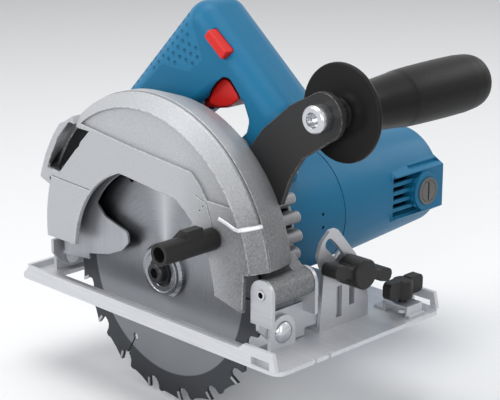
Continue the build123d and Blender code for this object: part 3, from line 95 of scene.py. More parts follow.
# Studio: each lamp has a place, a width, a height and a power in watts
LAMPS = (
    ("KeySoftbox", (-0.75, -1.35, 0.95), 0.8, 0.9, 11.5),
    ("TopSoftbox", (-0.1, 0.0, 1.5), 1.1, 1.1, 15.0),
    ("SideStrip", (1.3, -0.1, 0.4), 0.3, 1.0, 2.5),
    ("CameraFill", (0.75, -1.15, 0.5), 0.6, 0.6, 7.0),
    ("BackStrip", (0.4, 1.35, 0.9), 1.0, 0.4, 5.0),
)
LAMP_AIM = (0.02, 0.05, 0.07)
SKY_STRENGTH = 0.27
CAMERA_ANGLES = (45.314, 17.077)
CAMERA_PLACE = (0.671289, -0.593720, 0.342562)
CAMERA_SENSOR = 36.0
CAMERA_LENS = 113.72


# Sizes and colours that a user would change


class SawSizes(bpy.types.PropertyGroup):
    cast_edge: bpy.props.FloatProperty(
        name="Casting edge", description="Edge round of the cast guard halves",
        default=0.0013, unit="LENGTH")
    sheet_edge: bpy.props.FloatProperty(
        name="Sheet edge", description="Edge round of sheet steel pieces",
        default=0.0004, unit="LENGTH")
    mould_edge: bpy.props.FloatProperty(
        name="Moulded edge", description="Edge round of moulded plastic pieces",
        default=0.0008, unit="LENGTH")
    seam_edge: bpy.props.FloatProperty(
        name="Seam edge", description="Edge round where two moulded shells meet",
        default=0.0004, unit="LENGTH")
    dimple_radius: bpy.props.FloatProperty(
        name="Dimple radius", description="Radius of the balls that press the dimples into the grip",
        default=0.0016, unit="LENGTH")
    dimple_pitch: bpy.props.FloatProperty(
        name="Dimple pitch", description="Distance between dimples along the grip",
        default=0.006, unit="LENGTH")
    dimple_border: bpy.props.FloatProperty(
        name="Dimple border", description="Plain strip inside the edge of the grip cover",
        default=0.0026, unit="LENGTH")
    floor_height: bpy.props.FloatProperty(
        name="Floor height", description="Height of the studio floor, just under the blade",
        default=-0.0592, unit="LENGTH")


class SawColours(bpy.types.PropertyGroup):
    shell_blue: bpy.props.FloatVectorProperty(
        name="Shell blue", description="Moulded blue of handle and motor case",
        default=(0.0075, 0.137, 0.267), subtype="COLOR", size=3)
    control_red: bpy.props.FloatVectorProperty(
        name="Control red", description="Trigger and lock-off button",
        default=(0.6, 0.016, 0.012), subtype="COLOR", size=3)
    cast_grey: bpy.props.FloatVectorProperty(
        name="Cast grey", description="Cast aluminium of the guard and gear housing",
        default=(0.42, 0.43, 0.448), subtype="COLOR", size=3)
    black: bpy.props.FloatVectorProperty(
        name="Moulded black", description="Knobs, lever and side grip",
        default=(0.0125, 0.0122, 0.012), subtype="COLOR", size=3)


# Shader node groups


def new_group(name, inputs, outputs):
    tree = bpy.data.node_groups.new(name, "ShaderNodeTree")
    for label, kind, default in inputs:
        tree.interface.new_socket(label, in_out="INPUT", socket_type=kind).default_value = default
    for label, kind in outputs:
        tree.interface.new_socket(label, in_out="OUTPUT", socket_type=kind)
    return tree, tree.nodes.new("NodeGroupInput"), tree.nodes.new("NodeGroupOutput")


def add_node(tree, kind, **settings):
    node = tree.nodes.new(kind)
    for key, value in settings.items():
        setattr(node, key, value)
    return node


def maths(tree, operation, first, second=None, clamp=False):
    node = add_node(tree, "ShaderNodeMath", operation=operation, use_clamp=clamp)
    for socket, value in zip(node.inputs, (first, second)):
        if value is None:
            continue
        if isinstance(value, (int, float)):
            socket.default_value = value
        else:
            tree.links.new(value, socket)
    return node.outputs[0]


def times(tree, first, second):
    return maths(tree, "MULTIPLY", first, second)


def plus(tree, first, second):
    return maths(tree, "ADD", first, second)


def spread(tree, value, low, high, out_low=0.0, out_high=1.0):
    """Maps a value from one range to another and holds it there."""
    node = add_node(tree, "ShaderNodeMapRange", clamp=True)
    tree.links.new(value, node.inputs["Value"])
    limits = {"From Min": low, "From Max": high, "To Min": out_low, "To Max": out_high}
    for label, number in limits.items():
        node.inputs[label].default_value = number
    return node.outputs["Result"]


def object_point(tree):
    return add_node(tree, "ShaderNodeTexCoord").outputs["Object"]


def point_parts(tree, point=None):
    """X, Y and Z of the surface point, or of another vector."""
    parts = add_node(tree, "ShaderNodeSeparateXYZ")
    tree.links.new(point or object_point(tree), parts.inputs[0])
    return [parts.outputs[label] for label in "XYZ"]


def noise(tree, scale, detail=2.0, rough=0.5, point=None):
    node = add_node(tree, "ShaderNodeTexNoise")
    tree.links.new(point or object_point(tree), node.inputs["Vector"])
    if isinstance(scale, (int, float)):
        node.inputs["Scale"].default_value = scale
    else:
        tree.links.new(scale, node.inputs["Scale"])
    node.inputs["Detail"].default_value = detail
    node.inputs["Roughness"].default_value = rough
    return node.outputs["Fac"]


def grain_group():
    """Fine all-over grain: a height for bump and a tone that lightens and darkens the colour."""
    tree, ins, outs = new_group(
        "SurfaceGrain",
        [("Fine Scale", "NodeSocketFloat", 1500.0), ("Broad Scale", "NodeSocketFloat", 30.0)],
        [("Height", "NodeSocketFloat"), ("Tone", "NodeSocketFloat"), ("Patch", "NodeSocketFloat")])
    fine = noise(tree, ins.outputs["Fine Scale"], 3.0, 0.6)
    broad = noise(tree, ins.outputs["Broad Scale"], 3.0, 0.55)
    tree.links.new(fine, outs.inputs["Height"])
    tree.links.new(spread(tree, fine, 0.3, 0.7), outs.inputs["Tone"])
    tree.links.new(spread(tree, broad, 0.3, 0.7), outs.inputs["Patch"])
    return tree


def edge_group():
    """Worn edges and painted edge highlight: bright where the rounded normal leaves the true one, and
    not in corners.
    """
    tree, ins, outs = new_group(
        "EdgeWearAndHighlight",
        [("Radius", "NodeSocketFloat", 0.0008), ("Break Up", "NodeSocketFloat", 400.0)],
        [("Mask", "NodeSocketFloat"), ("Normal", "NodeSocketVector")])
    bevel = add_node(tree, "ShaderNodeBevel", samples=4)
    tree.links.new(ins.outputs["Radius"], bevel.inputs["Radius"])
    shown_normal = add_node(tree, "ShaderNodeNewGeometry").outputs["Normal"]
    dot = add_node(tree, "ShaderNodeVectorMath", operation="DOT_PRODUCT")
    tree.links.new(bevel.outputs["Normal"], dot.inputs[0])
    tree.links.new(shown_normal, dot.inputs[1])
    turned = spread(tree, dot.outputs["Value"], 0.99, 0.8)
    broken = spread(tree, noise(tree, ins.outputs["Break Up"], 2.0), 0.35, 0.6)
    corner = add_node(tree, "ShaderNodeAmbientOcclusion", samples=6)
    corner.inputs["Distance"].default_value = 0.004
    open_air = spread(tree, corner.outputs["AO"], 0.86, 0.99)
    worn_and_highlit = times(tree, turned, times(tree, broken, open_air))
    tree.links.new(worn_and_highlit, outs.inputs["Mask"])
    tree.links.new(bevel.outputs["Normal"], outs.inputs["Normal"])
    return tree


def streak_group():
    """Straight rolling or grinding marks along one axis of the piece."""
    tree, ins, outs = new_group(
        "GrindingMarks",
        [("Stretch", "NodeSocketVector", (20.0, 900.0, 900.0))],
        [("Height", "NodeSocketFloat"), ("Tone", "NodeSocketFloat")])
    stretch = add_node(tree, "ShaderNodeVectorMath", operation="MULTIPLY")
    tree.links.new(object_point(tree), stretch.inputs[0])
    tree.links.new(ins.outputs["Stretch"], stretch.inputs[1])
    lines = noise(tree, 1.0, 3.0, 0.6, stretch.outputs["Vector"])
    tree.links.new(lines, outs.inputs["Height"])
    tree.links.new(spread(tree, lines, 0.3, 0.7), outs.inputs["Tone"])
    return tree


def crease_group():
    """Painted shade that darkens corners and the undersides of edges, where little light reaches."""
    tree, ins, outs = new_group(
        "CreaseShade",
        [("Reach", "NodeSocketFloat", 0.006), ("Strength", "NodeSocketFloat", 0.5)],
        [("Mask", "NodeSocketFloat")])
    hidden = add_node(tree, "ShaderNodeAmbientOcclusion", samples=10)
    tree.links.new(ins.outputs["Reach"], hidden.inputs["Distance"])
    shut = spread(tree, hidden.outputs["AO"], 0.95, 0.3)
    tree.links.new(times(tree, shut, ins.outputs["Strength"]), outs.inputs["Mask"])
    return tree


GROUPS = {}


def use_group(tree, name, **values):
    node = add_node(tree, "ShaderNodeGroup", node_tree=GROUPS[name])
    for label, value in values.items():
        node.inputs[label.replace("_", " ")].default_value = value
    return node


def mix_colour(tree, factor, first, second):
    node = add_node(tree, "ShaderNodeMix", data_type="RGBA")
    tree.links.new(factor, node.inputs["Factor"])
    for socket, value in ((node.inputs["A"], first), (node.inputs["B"], second)):
        if isinstance(value, (tuple, list)):
            socket.default_value = (*value[:3], 1.0)
        else:
            tree.links.new(value, socket)
    return node.outputs["Result"]


def bump(tree, height, strength, distance, normal=None):
    node = add_node(tree, "ShaderNodeBump")
    node.inputs["Strength"].default_value = strength
    node.inputs["Distance"].default_value = distance
    tree.links.new(height, node.inputs["Height"])
    if normal is not None:
        tree.links.new(normal, node.inputs["Normal"])
    return node.outputs["Normal"]


def blank_material(name, **constants):
    material = bpy.data.materials.new(name)
    material.use_nodes = True
    shader = material.node_tree.nodes["Principled BSDF"]
    for label, value in constants.items():
        shader.inputs[label.replace("_", " ")].default_value = value
    return material, material.node_tree, shader


def scaled(colour, factor):
    return tuple(min(1.0, c * factor) for c in colour)


def toned(tree, mask, colour, dark, light):
    """A colour that swings between a darker and a lighter share of itself."""
    return mix_colour(tree, mask, scaled(colour, dark), scaled(colour, light))


def wired(tree, shader, colour, rough, normal):
    """Joins a colour, a roughness and a normal to a shader."""
    for label, value in (("Base Color", colour), ("Roughness", rough), ("Normal", normal)):
        tree.links.new(value, shader.inputs[label])


def grained(name, colour, rough, fine, broad, depth, wear_and_highlight=0.0, wear_and_highlight_colour=None, swing=0.12,
            edge=0.0008, metallic=0.0, reach=0.006, corner_shade=0.0, **constants):
    """A material with fine grain, slow tone changes and lighter edges, partly wear and partly painted
    highlight.
    """
    patch_share, patch_tone, worn_and_highlight_tone, corner_shade_tone = 0.35, 0.86, 1.6, 0.22
    rough_swing, bump_strength = 0.06, 0.6
    material, tree, shader = blank_material(name, Metallic=metallic, **constants)
    grain = use_group(tree, "SurfaceGrain", Fine_Scale=fine, Broad_Scale=broad)
    edges = use_group(tree, "EdgeWearAndHighlight", Radius=edge)
    patch = grain.outputs["Patch"]
    tone = toned(tree, grain.outputs["Tone"], colour, 1 - swing, 1 + swing)
    patched = mix_colour(tree, times(tree, patch, patch_share), tone, scaled(colour, patch_tone))
    # Painted highlight and wear: the edges turn lighter
    worn_and_highlight_mask = times(tree, edges.outputs["Mask"], wear_and_highlight)
    shown = mix_colour(tree, worn_and_highlight_mask, patched, wear_and_highlight_colour or scaled(colour, worn_and_highlight_tone))
    # Painted shade: the colour darkens in corners and under edges
    if corner_shade > 0:
        crease = use_group(tree, "CreaseShade", Reach=reach, Strength=corner_shade)
        shown = mix_colour(tree, crease.outputs["Mask"], shown, scaled(colour, corner_shade_tone))
    roughness = spread(tree, patch, 0.0, 1.0, rough - rough_swing, rough + rough_swing)
    relief = bump(tree, grain.outputs["Height"], bump_strength, depth, edges.outputs["Normal"])
    wired(tree, shader, shown, roughness, relief)
    return material


def rolled(name, colour, rough, stretch, depth, metallic=1.0, swing=0.08, reach=0.007, corner_shade=0.0):
    """Plated or ground steel with straight marks and a slow mottle."""
    patch_share, patch_tone, corner_shade_tone, bump_strength = 0.3, 0.82, 0.2, 0.25
    material, tree, shader = blank_material(name, Metallic=metallic)
    marks = use_group(tree, "GrindingMarks", Stretch=stretch)
    grain = use_group(tree, "SurfaceGrain", Fine_Scale=900.0, Broad_Scale=25.0)
    patch = grain.outputs["Patch"]
    tone = toned(tree, marks.outputs["Tone"], colour, 1 - swing, 1 + swing)
    shown = mix_colour(tree, times(tree, patch, patch_share), tone, scaled(colour, patch_tone))
    # Painted shade: the colour darkens in corners and under edges
    if corner_shade > 0:
        crease = use_group(tree, "CreaseShade", Reach=reach, Strength=corner_shade)
        shown = mix_colour(tree, crease.outputs["Mask"], shown, scaled(colour, corner_shade_tone))
    slow = spread(tree, patch, 0.0, 1.0, rough - 0.05, rough + 0.07)
    quick = spread(tree, marks.outputs["Tone"], 0.0, 1.0, -0.03, 0.03)
    relief = bump(tree, marks.outputs["Height"], bump_strength, depth)
    wired(tree, shader, shown, plus(tree, slow, quick), relief)
    return material


MATERIALS = {}


def make_materials(colours):
    """Builds the shared groups, then one finish for each kind of surface."""
    GROUPS["SurfaceGrain"] = grain_group()
    GROUPS["EdgeWearAndHighlight"] = edge_group()
    GROUPS["GrindingMarks"] = streak_group()
    GROUPS["CreaseShade"] = crease_group()
    cast = tuple(colours.cast_grey)
    blue = tuple(colours.shell_blue)
    black = tuple(colours.black)
    # Painted shade darkens the corners of this casting
    MATERIALS["cast"] = grained(
        "CastAluminium", cast, rough=0.46, fine=1500.0, broad=26.0, depth=0.0003, wear_and_highlight=0.8,
        wear_and_highlight_colour=CAST_WEAR_AND_HIGHLIGHT, swing=0.17, metallic=0.3, edge=0.0014, reach=0.009, corner_shade=0.5)
    MATERIALS["guard_cast"] = guard_material(cast)
    # Painted highlight: a lighter copy of the cast grey for the rib across the guard face
    MATERIALS["highlight_cast"] = grained(
        "HighlightAluminium", scaled(cast, 1.7), rough=0.4, fine=1500.0, broad=26.0, depth=0.0001,
        swing=0.08, metallic=0.2)
    MATERIALS["blue"] = grained(
        "BlueShell", blue, rough=0.44, fine=2200.0, broad=14.0, depth=0.00007, wear_and_highlight=0.2, swing=0.06,
        Specular_IOR_Level=0.22)
    # Painted shade darkens the grip cover's dimples and the seam round it
    MATERIALS["soft_blue"] = grained(
        "SoftGripBlue", scaled(blue, 1.15), rough=0.46, fine=1600.0, broad=20.0, depth=0.00012,
        wear_and_highlight=0.2, edge=0.0006, reach=0.003, corner_shade=1.0, Specular_IOR_Level=0.3)
    MATERIALS["red"] = grained(
        "RedControls", tuple(colours.control_red), rough=0.36, fine=2000.0, broad=30.0, depth=0.00005,
        wear_and_highlight=0.2, swing=0.06, Specular_IOR_Level=0.3)
    MATERIALS["black"] = grained(
        "BlackMoulding", black, rough=0.42, fine=1500.0, broad=24.0, depth=0.00012, wear_and_highlight=0.5,
        wear_and_highlight_colour=(0.055, 0.053, 0.05), swing=0.15, Specular_IOR_Level=0.26)
    MATERIALS["grip_black"] = grip_material(scaled(black, 0.7))
    MATERIALS["black_sheet"] = grained(
        "BlackenedSheet", (0.015, 0.015, 0.0155), rough=0.42, fine=1900.0, broad=22.0, depth=0.00005,
        wear_and_highlight=1.0, wear_and_highlight_colour=(0.34, 0.34, 0.34), edge=0.0007, Specular_IOR_Level=0.34)
    MATERIALS["zinc"] = rolled(
        "ZincSheet", (0.49, 0.5, 0.525), rough=0.42, stretch=(30.0, 900.0, 900.0), depth=0.00003,
        metallic=0.75)
    MATERIALS["plate_zinc"] = rolled(
        "PlateZinc", (0.58, 0.59, 0.615), rough=0.42, stretch=(30.0, 700.0, 700.0), depth=0.00004,
        metallic=0.4)
    # Painted shade darkens the lower guard in corners and under edges
    MATERIALS["guard_sheet"] = rolled(
        "GuardSheet", (0.38, 0.39, 0.415), rough=0.36, stretch=(600.0, 600.0, 40.0), depth=0.00003,
        metallic=0.7, reach=0.012, corner_shade=0.6)
    MATERIALS["bright"] = rolled(
        "BrightSteel", (0.56, 0.57, 0.59), rough=0.2, stretch=(900.0, 60.0, 900.0), depth=0.00002)
    MATERIALS["dark_steel"] = rolled(
        "OiledSteel", (0.03, 0.03, 0.033), rough=0.3, stretch=(900.0, 80.0, 900.0), depth=0.00002,
        metallic=0.6)
    MATERIALS["flange_steel"] = rolled(
        "TurnedFlange", (0.3, 0.31, 0.33), rough=0.24, stretch=(900.0, 900.0, 900.0), depth=0.00002,
        swing=0.14)
    MATERIALS["carbide"] = rolled(
        "GroundCarbide", (0.42, 0.43, 0.44), rough=0.28, stretch=(900.0, 900.0, 80.0), depth=0.00002)
    MATERIALS["grey_cap"] = grained(
        "GreyCap", (0.1, 0.098, 0.095), rough=0.42, fine=1800.0, broad=40.0, depth=0.00008, wear_and_highlight=0.5,
        wear_and_highlight_colour=(0.4, 0.39, 0.38))
    MATERIALS["core"] = rolled(
        "LaminatedCore", (0.2, 0.2, 0.22), rough=0.5, stretch=(60.0, 2500.0, 60.0), depth=0.0001)
    MATERIALS["copper"] = rolled(
        "EnamelledCopper", (0.55, 0.2, 0.07), rough=0.3, stretch=(60.0, 60.0, 1800.0), depth=0.0002)
    MATERIALS["carbon"] = grained(
        "PressedCarbon", (0.03, 0.03, 0.032), rough=0.6, fine=1500.0, broad=60.0, depth=0.0001)
    MATERIALS["blade"] = blade_material()


def outlet_mask(tree, x, y, z):
    """One inside the chip outlet, where painted shade goes: below the face, behind its slanted side and
    inside the rim.
    """
    side = add_node(tree, "ShaderNodeVectorMath", operation="DOT_PRODUCT")
    tree.links.new(object_point(tree), side.inputs[0])
    side.inputs[1].default_value = (0.7206, 0.0, -0.6934)
    flat = add_node(tree, "ShaderNodeCombineXYZ")
    tree.links.new(x, flat.inputs["X"])
    tree.links.new(z, flat.inputs["Z"])
    from_middle = add_node(tree, "ShaderNodeVectorMath", operation="DISTANCE")
    tree.links.new(flat.outputs["Vector"], from_middle.inputs[0])
    from_middle.inputs[1].default_value = (0.0, 0.0, GUARD_CENTRE_Z)
    mask = spread(tree, y, -0.0195, -0.0188)
    limits = (
        (side.outputs["Value"], -0.1050, -0.1056), (z, 0.0730, 0.0740), (z, 0.1068, 0.1060),
        (from_middle.outputs["Value"], 0.0972, 0.0964),
    )
    for value, none, full in limits:
        mask = times(tree, spread(tree, value, none, full), mask)
    return mask


def guard_material(colour):
    """Sand-cast cover: smooth and pale over the face, coarse towards its front edge; painted shade
    darkens the front and lower part, the chip outlet and the corners.
    """
    material, tree, shader = blank_material("GuardCasting", Metallic=0.3)
    grain = use_group(tree, "SurfaceGrain", Fine_Scale=1500.0, Broad_Scale=26.0)
    sand = use_group(tree, "SurfaceGrain", Fine_Scale=820.0, Broad_Scale=60.0)
    edges = use_group(tree, "EdgeWearAndHighlight", Radius=0.0014)
    crease = use_group(tree, "CreaseShade", Reach=0.009, Strength=0.5)
    x, y, z = point_parts(tree)
    # Painted shade: the face darkens towards its front and lower edge, where the coarse sand grain also
    # shows
    front = spread(tree, x, 0.034, 0.088)
    low = spread(tree, z, 0.112, 0.074)
    coarse = maths(tree, "MULTIPLY", front, plus(tree, times(tree, low, 0.5), 0.5), True)
    tone = toned(tree, grain.outputs["Tone"], colour, 0.84, 1.16)
    sand_and_shade = toned(tree, sand.outputs["Tone"], colour, 0.24, 0.5)
    plain = mix_colour(tree, coarse, tone, sand_and_shade)
    # Painted shade: the inside of the chip outlet drops to a tenth of the grey
    outlet_shade = times(tree, outlet_mask(tree, x, y, z), 0.85)
    base = mix_colour(tree, outlet_shade, plain, scaled(colour, 0.1))
    # Painted highlight and wear: the edges turn towards bare metal
    worn_and_highlit = mix_colour(tree, times(tree, edges.outputs["Mask"], 0.8), base, CAST_WEAR_AND_HIGHLIGHT)
    # Painted shade: the guard darkens in corners and under edges
    corner_shaded = mix_colour(tree, crease.outputs["Mask"], worn_and_highlit, scaled(colour, 0.22))
    roughness = spread(tree, grain.outputs["Patch"], 0.0, 1.0, 0.4, 0.52)
    sandy = times(tree, sand.outputs["Height"], coarse)
    relief = plus(tree, times(tree, grain.outputs["Height"], 0.6), sandy)
    wired(tree, shader, corner_shaded, roughness, bump(tree, relief, 0.6, 0.0003, edges.outputs["Normal"]))
    return material


def grip_material(colour):
    """Satin black that turns matt and coarse on the outer half of the side grip."""
    material, tree, shader = blank_material("SideGripBlack", Specular_IOR_Level=0.12)
    _, y, _ = point_parts(tree)
    outer = spread(tree, y, MATT_START - 0.0002, MATT_START + 0.0003)
    fine = use_group(tree, "SurfaceGrain", Fine_Scale=1700.0, Broad_Scale=18.0)
    coarse = use_group(tree, "SurfaceGrain", Fine_Scale=900.0, Broad_Scale=40.0)
    edges = use_group(tree, "EdgeWearAndHighlight", Radius=0.0009)
    tone = toned(tree, coarse.outputs["Tone"], colour, 0.8, 1.35)
    base = mix_colour(tree, outer, colour, tone)
    # Painted highlight and wear: the edges turn a lighter grey
    worn_and_highlit = mix_colour(tree, times(tree, edges.outputs["Mask"], 0.5), base, (0.09, 0.09, 0.092))
    satin = spread(tree, fine.outputs["Patch"], 0.0, 1.0, 0.3, 0.38)
    roughness = plus(tree, satin, times(tree, outer, 0.08))
    pitted = times(tree, coarse.outputs["Height"], outer)
    relief = plus(tree, times(tree, fine.outputs["Height"], 0.3), pitted)
    wired(tree, shader, worn_and_highlit, roughness, bump(tree, relief, 0.5, 0.00016, edges.outputs["Normal"]))
    return material


def blade_material():
    """Ground disc: marks run round the arbor, a painted highlight wedge through it that is brightest
    above, painted shade on its lower part and in corners, a dark ring inside the teeth.
    """
    rings_per_metre, streaks_per_radian = 2600.0, 2.5
    material, tree, shader = blank_material("GroundBlade", Metallic=1.0, Anisotropic=0.6)
    centre = add_node(tree, "ShaderNodeVectorMath", operation="SUBTRACT")
    tree.links.new(object_point(tree), centre.inputs[0])
    centre.inputs[1].default_value = (0.0, 0.0, ARBOR_Z)
    x, _, z = point_parts(tree, centre.outputs["Vector"])
    flat = add_node(tree, "ShaderNodeCombineXYZ")
    tree.links.new(x, flat.inputs["X"])
    tree.links.new(z, flat.inputs["Y"])
    length = add_node(tree, "ShaderNodeVectorMath", operation="LENGTH")
    tree.links.new(flat.outputs["Vector"], length.inputs[0])
    radius = length.outputs["Value"]
    angle = maths(tree, "ARCTAN2", z, x)
    polar = add_node(tree, "ShaderNodeCombineXYZ")
    tree.links.new(times(tree, radius, rings_per_metre), polar.inputs["X"])
    tree.links.new(times(tree, angle, streaks_per_radian), polar.inputs["Y"])
    rings = noise(tree, 1.0, 3.0, 0.6, polar.outputs["Vector"])
    outer = spread(tree, radius, 0.0655, 0.0662)
    steel = mix_colour(tree, spread(tree, rings, 0.3, 0.7), (0.2, 0.208, 0.225), (0.3, 0.31, 0.33))
    # Painted shade: the disc darkens towards its lower part
    lower_shade = mix_colour(tree, spread(tree, z, 0.004, -0.03), steel, (0.21, 0.218, 0.234))
    ringed = mix_colour(tree, outer, lower_shade, (0.062, 0.066, 0.073))
    sideways = maths(tree, "DIVIDE", maths(tree, "ABSOLUTE", x), plus(tree, radius, 0.001))
    # Painted highlight: a bright wedge up and down through the arbor, strongest above it
    upper = spread(tree, z, -0.02, 0.02, 0.2, 1.0)
    highlight_wedge = times(tree, spread(tree, sideways, 0.42, 0.02), upper)
    bright = mix_colour(tree, times(tree, highlight_wedge, highlight_wedge), ringed, (0.5, 0.51, 0.53))
    shown = mix_colour(tree, outer, bright, ringed)
    # Painted shade: the disc darkens in corners and under the guard's edges
    crease = use_group(tree, "CreaseShade", Reach=0.008, Strength=0.45)
    corner_shaded = mix_colour(tree, crease.outputs["Mask"], shown, (0.06, 0.062, 0.068))
    rough = plus(tree, spread(tree, rings, 0.3, 0.7, 0.3, 0.38), times(tree, outer, 0.06))
    tangent = add_node(tree, "ShaderNodeTangent", direction_type="RADIAL", axis="Y")
    tree.links.new(tangent.outputs["Tangent"], shader.inputs["Tangent"])
    wired(tree, shader, corner_shaded, rough, bump(tree, rings, 0.25, 0.00003))
    return material


# Meshes


def merged_copy(node, flat_angle=0.4):
    """A copy of a CAD node's mesh with its triangles joined and flat areas cleaned."""
    mesh = frame["nodes"][node].data.copy()
    mesh.name = node + "_skin"
    if "custom_normal" in mesh.attributes:
        mesh.attributes.remove(mesh.attributes["custom_normal"])
    shape = bmesh.new()
    shape.from_mesh(mesh)
    bmesh.ops.remove_doubles(shape, verts=shape.verts, dist=2e-6)
    bmesh.ops.dissolve_limit(
        shape, angle_limit=radians(flat_angle), verts=shape.verts, edges=shape.edges)
    shape.to_mesh(mesh)
    shape.free()
    return mesh


def smooth_by_angle(mesh, angle):
    for face in mesh.polygons:
        face.use_smooth = True
    mesh.set_sharp_from_angle(angle=radians(angle))


def baked(obj):
    """Turns an object's modifiers into a plain mesh."""
    finished = bpy.data.meshes.new_from_object(obj.evaluated_get(bpy.context.evaluated_depsgraph_get()))
    obj.modifiers.clear()
    obj.data = finished


def loose_object(name, mesh):
    obj = bpy.data.objects.new(name, mesh)
    bpy.context.scene.collection.objects.link(obj)
    return obj


def carve(obj, cutters):
    """Takes the cutters' volume out of a piece and removes the cutters."""
    for cutter in cutters:
        cut = obj.modifiers.new("carve", "BOOLEAN")
        cut.operation = "DIFFERENCE"
        cut.solver = "EXACT"
        cut.object = cutter
    baked(obj)
    for cutter in cutters:
        bpy.data.objects.remove(cutter)


def dress(node, material, edge=0.0, angle=32.0, segments=2, cutters=()):
    """Gives a CAD node its carved details, rounded edges and a finish."""
    obj = loose_object(node + "_skin", merged_copy(node))
    if cutters:
        carve(obj, cutters)
    if edge > 0:
        rounding = obj.modifiers.new("edges", "BEVEL")
        rounding.width = edge
        rounding.segments = segments
        rounding.limit_method = "ANGLE"
        rounding.angle_limit = radians(angle)
        rounding.use_clamp_overlap = True
        baked(obj)
    smooth_by_angle(obj.data, angle)
    even = obj.modifiers.new("even_shading", "WEIGHTED_NORMAL")
    even.keep_sharp = True
    baked(obj)
    finish_piece(obj, material, node)


def finish_piece(obj, material, *nodes):
    obj.data.materials.clear()
    obj.data.materials.append(MATERIALS[material])
    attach(obj, BODY_OF[nodes[0]])
    for node in nodes:
        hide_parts(node)


def mesh_from(shape, name):
    mesh = bpy.data.meshes.new(name)
    bmesh.ops.recalc_face_normals(shape, faces=shape.faces)
    shape.to_mesh(mesh)
    shape.free()
    return mesh


def metres(points):
    """Flat points given in millimetres."""
    return [(a / 1000, b / 1000) for a, b in points]


def block_cutter(name, blocks):
    """One object of boxes; each block is a centre and three sizes."""
    shape = bmesh.new()
    for centre, size in blocks:
        place = Matrix.Translation(centre) @ Matrix.Diagonal((*size, 1.0))
        bmesh.ops.create_cube(shape, size=1.0, matrix=place)
    return loose_object(name, mesh_from(shape, name))


def drill_cutter(name, holes, axis):
    """One object of round bars; each hole is a centre, a radius and a length along the axis."""
    turn = Matrix.Rotation(pi / 2, 4, "Y" if axis == "X" else "X")
    shape = bmesh.new()
    for centre, radius, length in holes:
        bmesh.ops.create_cone(
            shape, cap_ends=True, segments=20, radius1=radius, radius2=radius, depth=length,
            matrix=Matrix.Translation(centre) @ turn)
    return loose_object(name, mesh_from(shape, name))


def ring_cutter(name, centre, inner, outer, y0, y1):
    mesh = lathe_y(name, centre, [(inner, y0), (outer, y0), (outer, y1), (inner, y1), (inner, y0)], 128)
    shape = bmesh.new()
    shape.from_mesh(mesh)
    bmesh.ops.remove_doubles(shape, verts=shape.verts, dist=1e-7)
    return loose_object(name, mesh_from(shape, name))


def prism_cutter(name, points, axis, start, end):
    """A closed outline pushed along an axis; the points are X-Z for axis Y and Y-Z for axis X."""
    shape = bmesh.new()
    low, high = (
        [shape.verts.new((a, level, b) if axis == "Y" else (level, a, b)) for a, b in points]
        for level in (start, end)
    )
    shape.faces.new(low)
    shape.faces.new(high[::-1])
    for i in range(len(points)):
        j = (i + 1) % len(points)
        shape.faces.new((low[i], low[j], high[j], high[i]))
    return loose_object(name, mesh_from(shape, name))


def slanted(obj, level, shift_x, shift_z):
    """Leans a piece along Y: each point moves in X and Z with its distance from the level."""
    for vertex in obj.data.vertices:
        depth = vertex.co.y - level
        vertex.co.x += shift_x * depth
        vertex.co.z += shift_z * depth
    return obj


def raised_strip(name, stations, width, height):
    """A low rib over a surface; each station is a point on it and the outward normal there."""
    crown_share = 0.55
    shape = bmesh.new()
    rows = []
    for i, (point, normal) in enumerate(stations):
        before, after = stations[max(i - 1, 0)][0], stations[min(i + 1, len(stations) - 1)][0]
        out = Vector(normal).normalized()
        side = out.cross(Vector(after) - Vector(before)).normalized() * width / 2
        sunk = Vector(point) - out * height
        crown = Vector(point) + out * height
        inner = side * crown_share
        section = (sunk - side, crown - inner, crown + inner, sunk + side)
        rows.append([shape.verts.new(corner) for corner in section])
    for left, right in zip(rows, rows[1:]):
        for j in range(4):
            k = (j + 1) % 4
            shape.faces.new((left[j], left[k], right[k], right[j]))
    shape.faces.new(rows[0][::-1])
    shape.faces.new(rows[-1])
    return loose_object(name, mesh_from(shape, name))


def added_piece(obj, material, node):
    """A form that lies on a node and rides with it."""
    obj.data.materials.append(MATERIALS[material])
    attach(obj, BODY_OF[node])


def ribbon(points, width):
    """Outline of a strip of the given width along an open line."""
    line = [Vector(point) for point in points]
    left, right = [], []
    for i, point in enumerate(line):
        before = (point - line[i - 1]).normalized() if i else (line[1] - point).normalized()
        after = (line[i + 1] - point).normalized() if i + 1 < len(line) else before
        way = (before + after).normalized()
        side = Vector((-way.y, way.x))
        reach = width / 2 / max(0.4, side.dot(Vector((-before.y, before.x))))
        left.append(tuple(point + side * reach))
        right.append(tuple(point - side * reach))
    return left + right[::-1]


def groove_cutter(name, points, face_y, width, depth):
    """A strip along X-Z points on a face that looks towards -Y."""
    return prism_cutter(name, ribbon(points, width), "Y", face_y - depth, face_y + depth)


def lathe_y(name, centre, profile, steps=96):
    """Turns a radius-by-Y profile about an axis along Y; the ends close on the axis."""
    shape = bmesh.new()
    turns = [2 * pi * i / steps for i in range(steps)]
    rings = []
    for radius, y in profile:
        if radius < 1e-7:
            rings.append([shape.verts.new((centre[0], y, centre[1]))])
            continue
        rings.append([
            shape.verts.new((centre[0] + radius * cos(turn), y, centre[1] + radius * sin(turn)))
            for turn in turns
        ])
    for low, high in zip(rings, rings[1:]):
        for i in range(steps):
            j = (i + 1) % steps
            corners = [low[i % len(low)], low[j % len(low)], high[j % len(high)], high[i % len(high)]]
            face = list(dict.fromkeys(corners))
            if len(face) > 2:
                shape.faces.new(face)
    return mesh_from(shape, name)


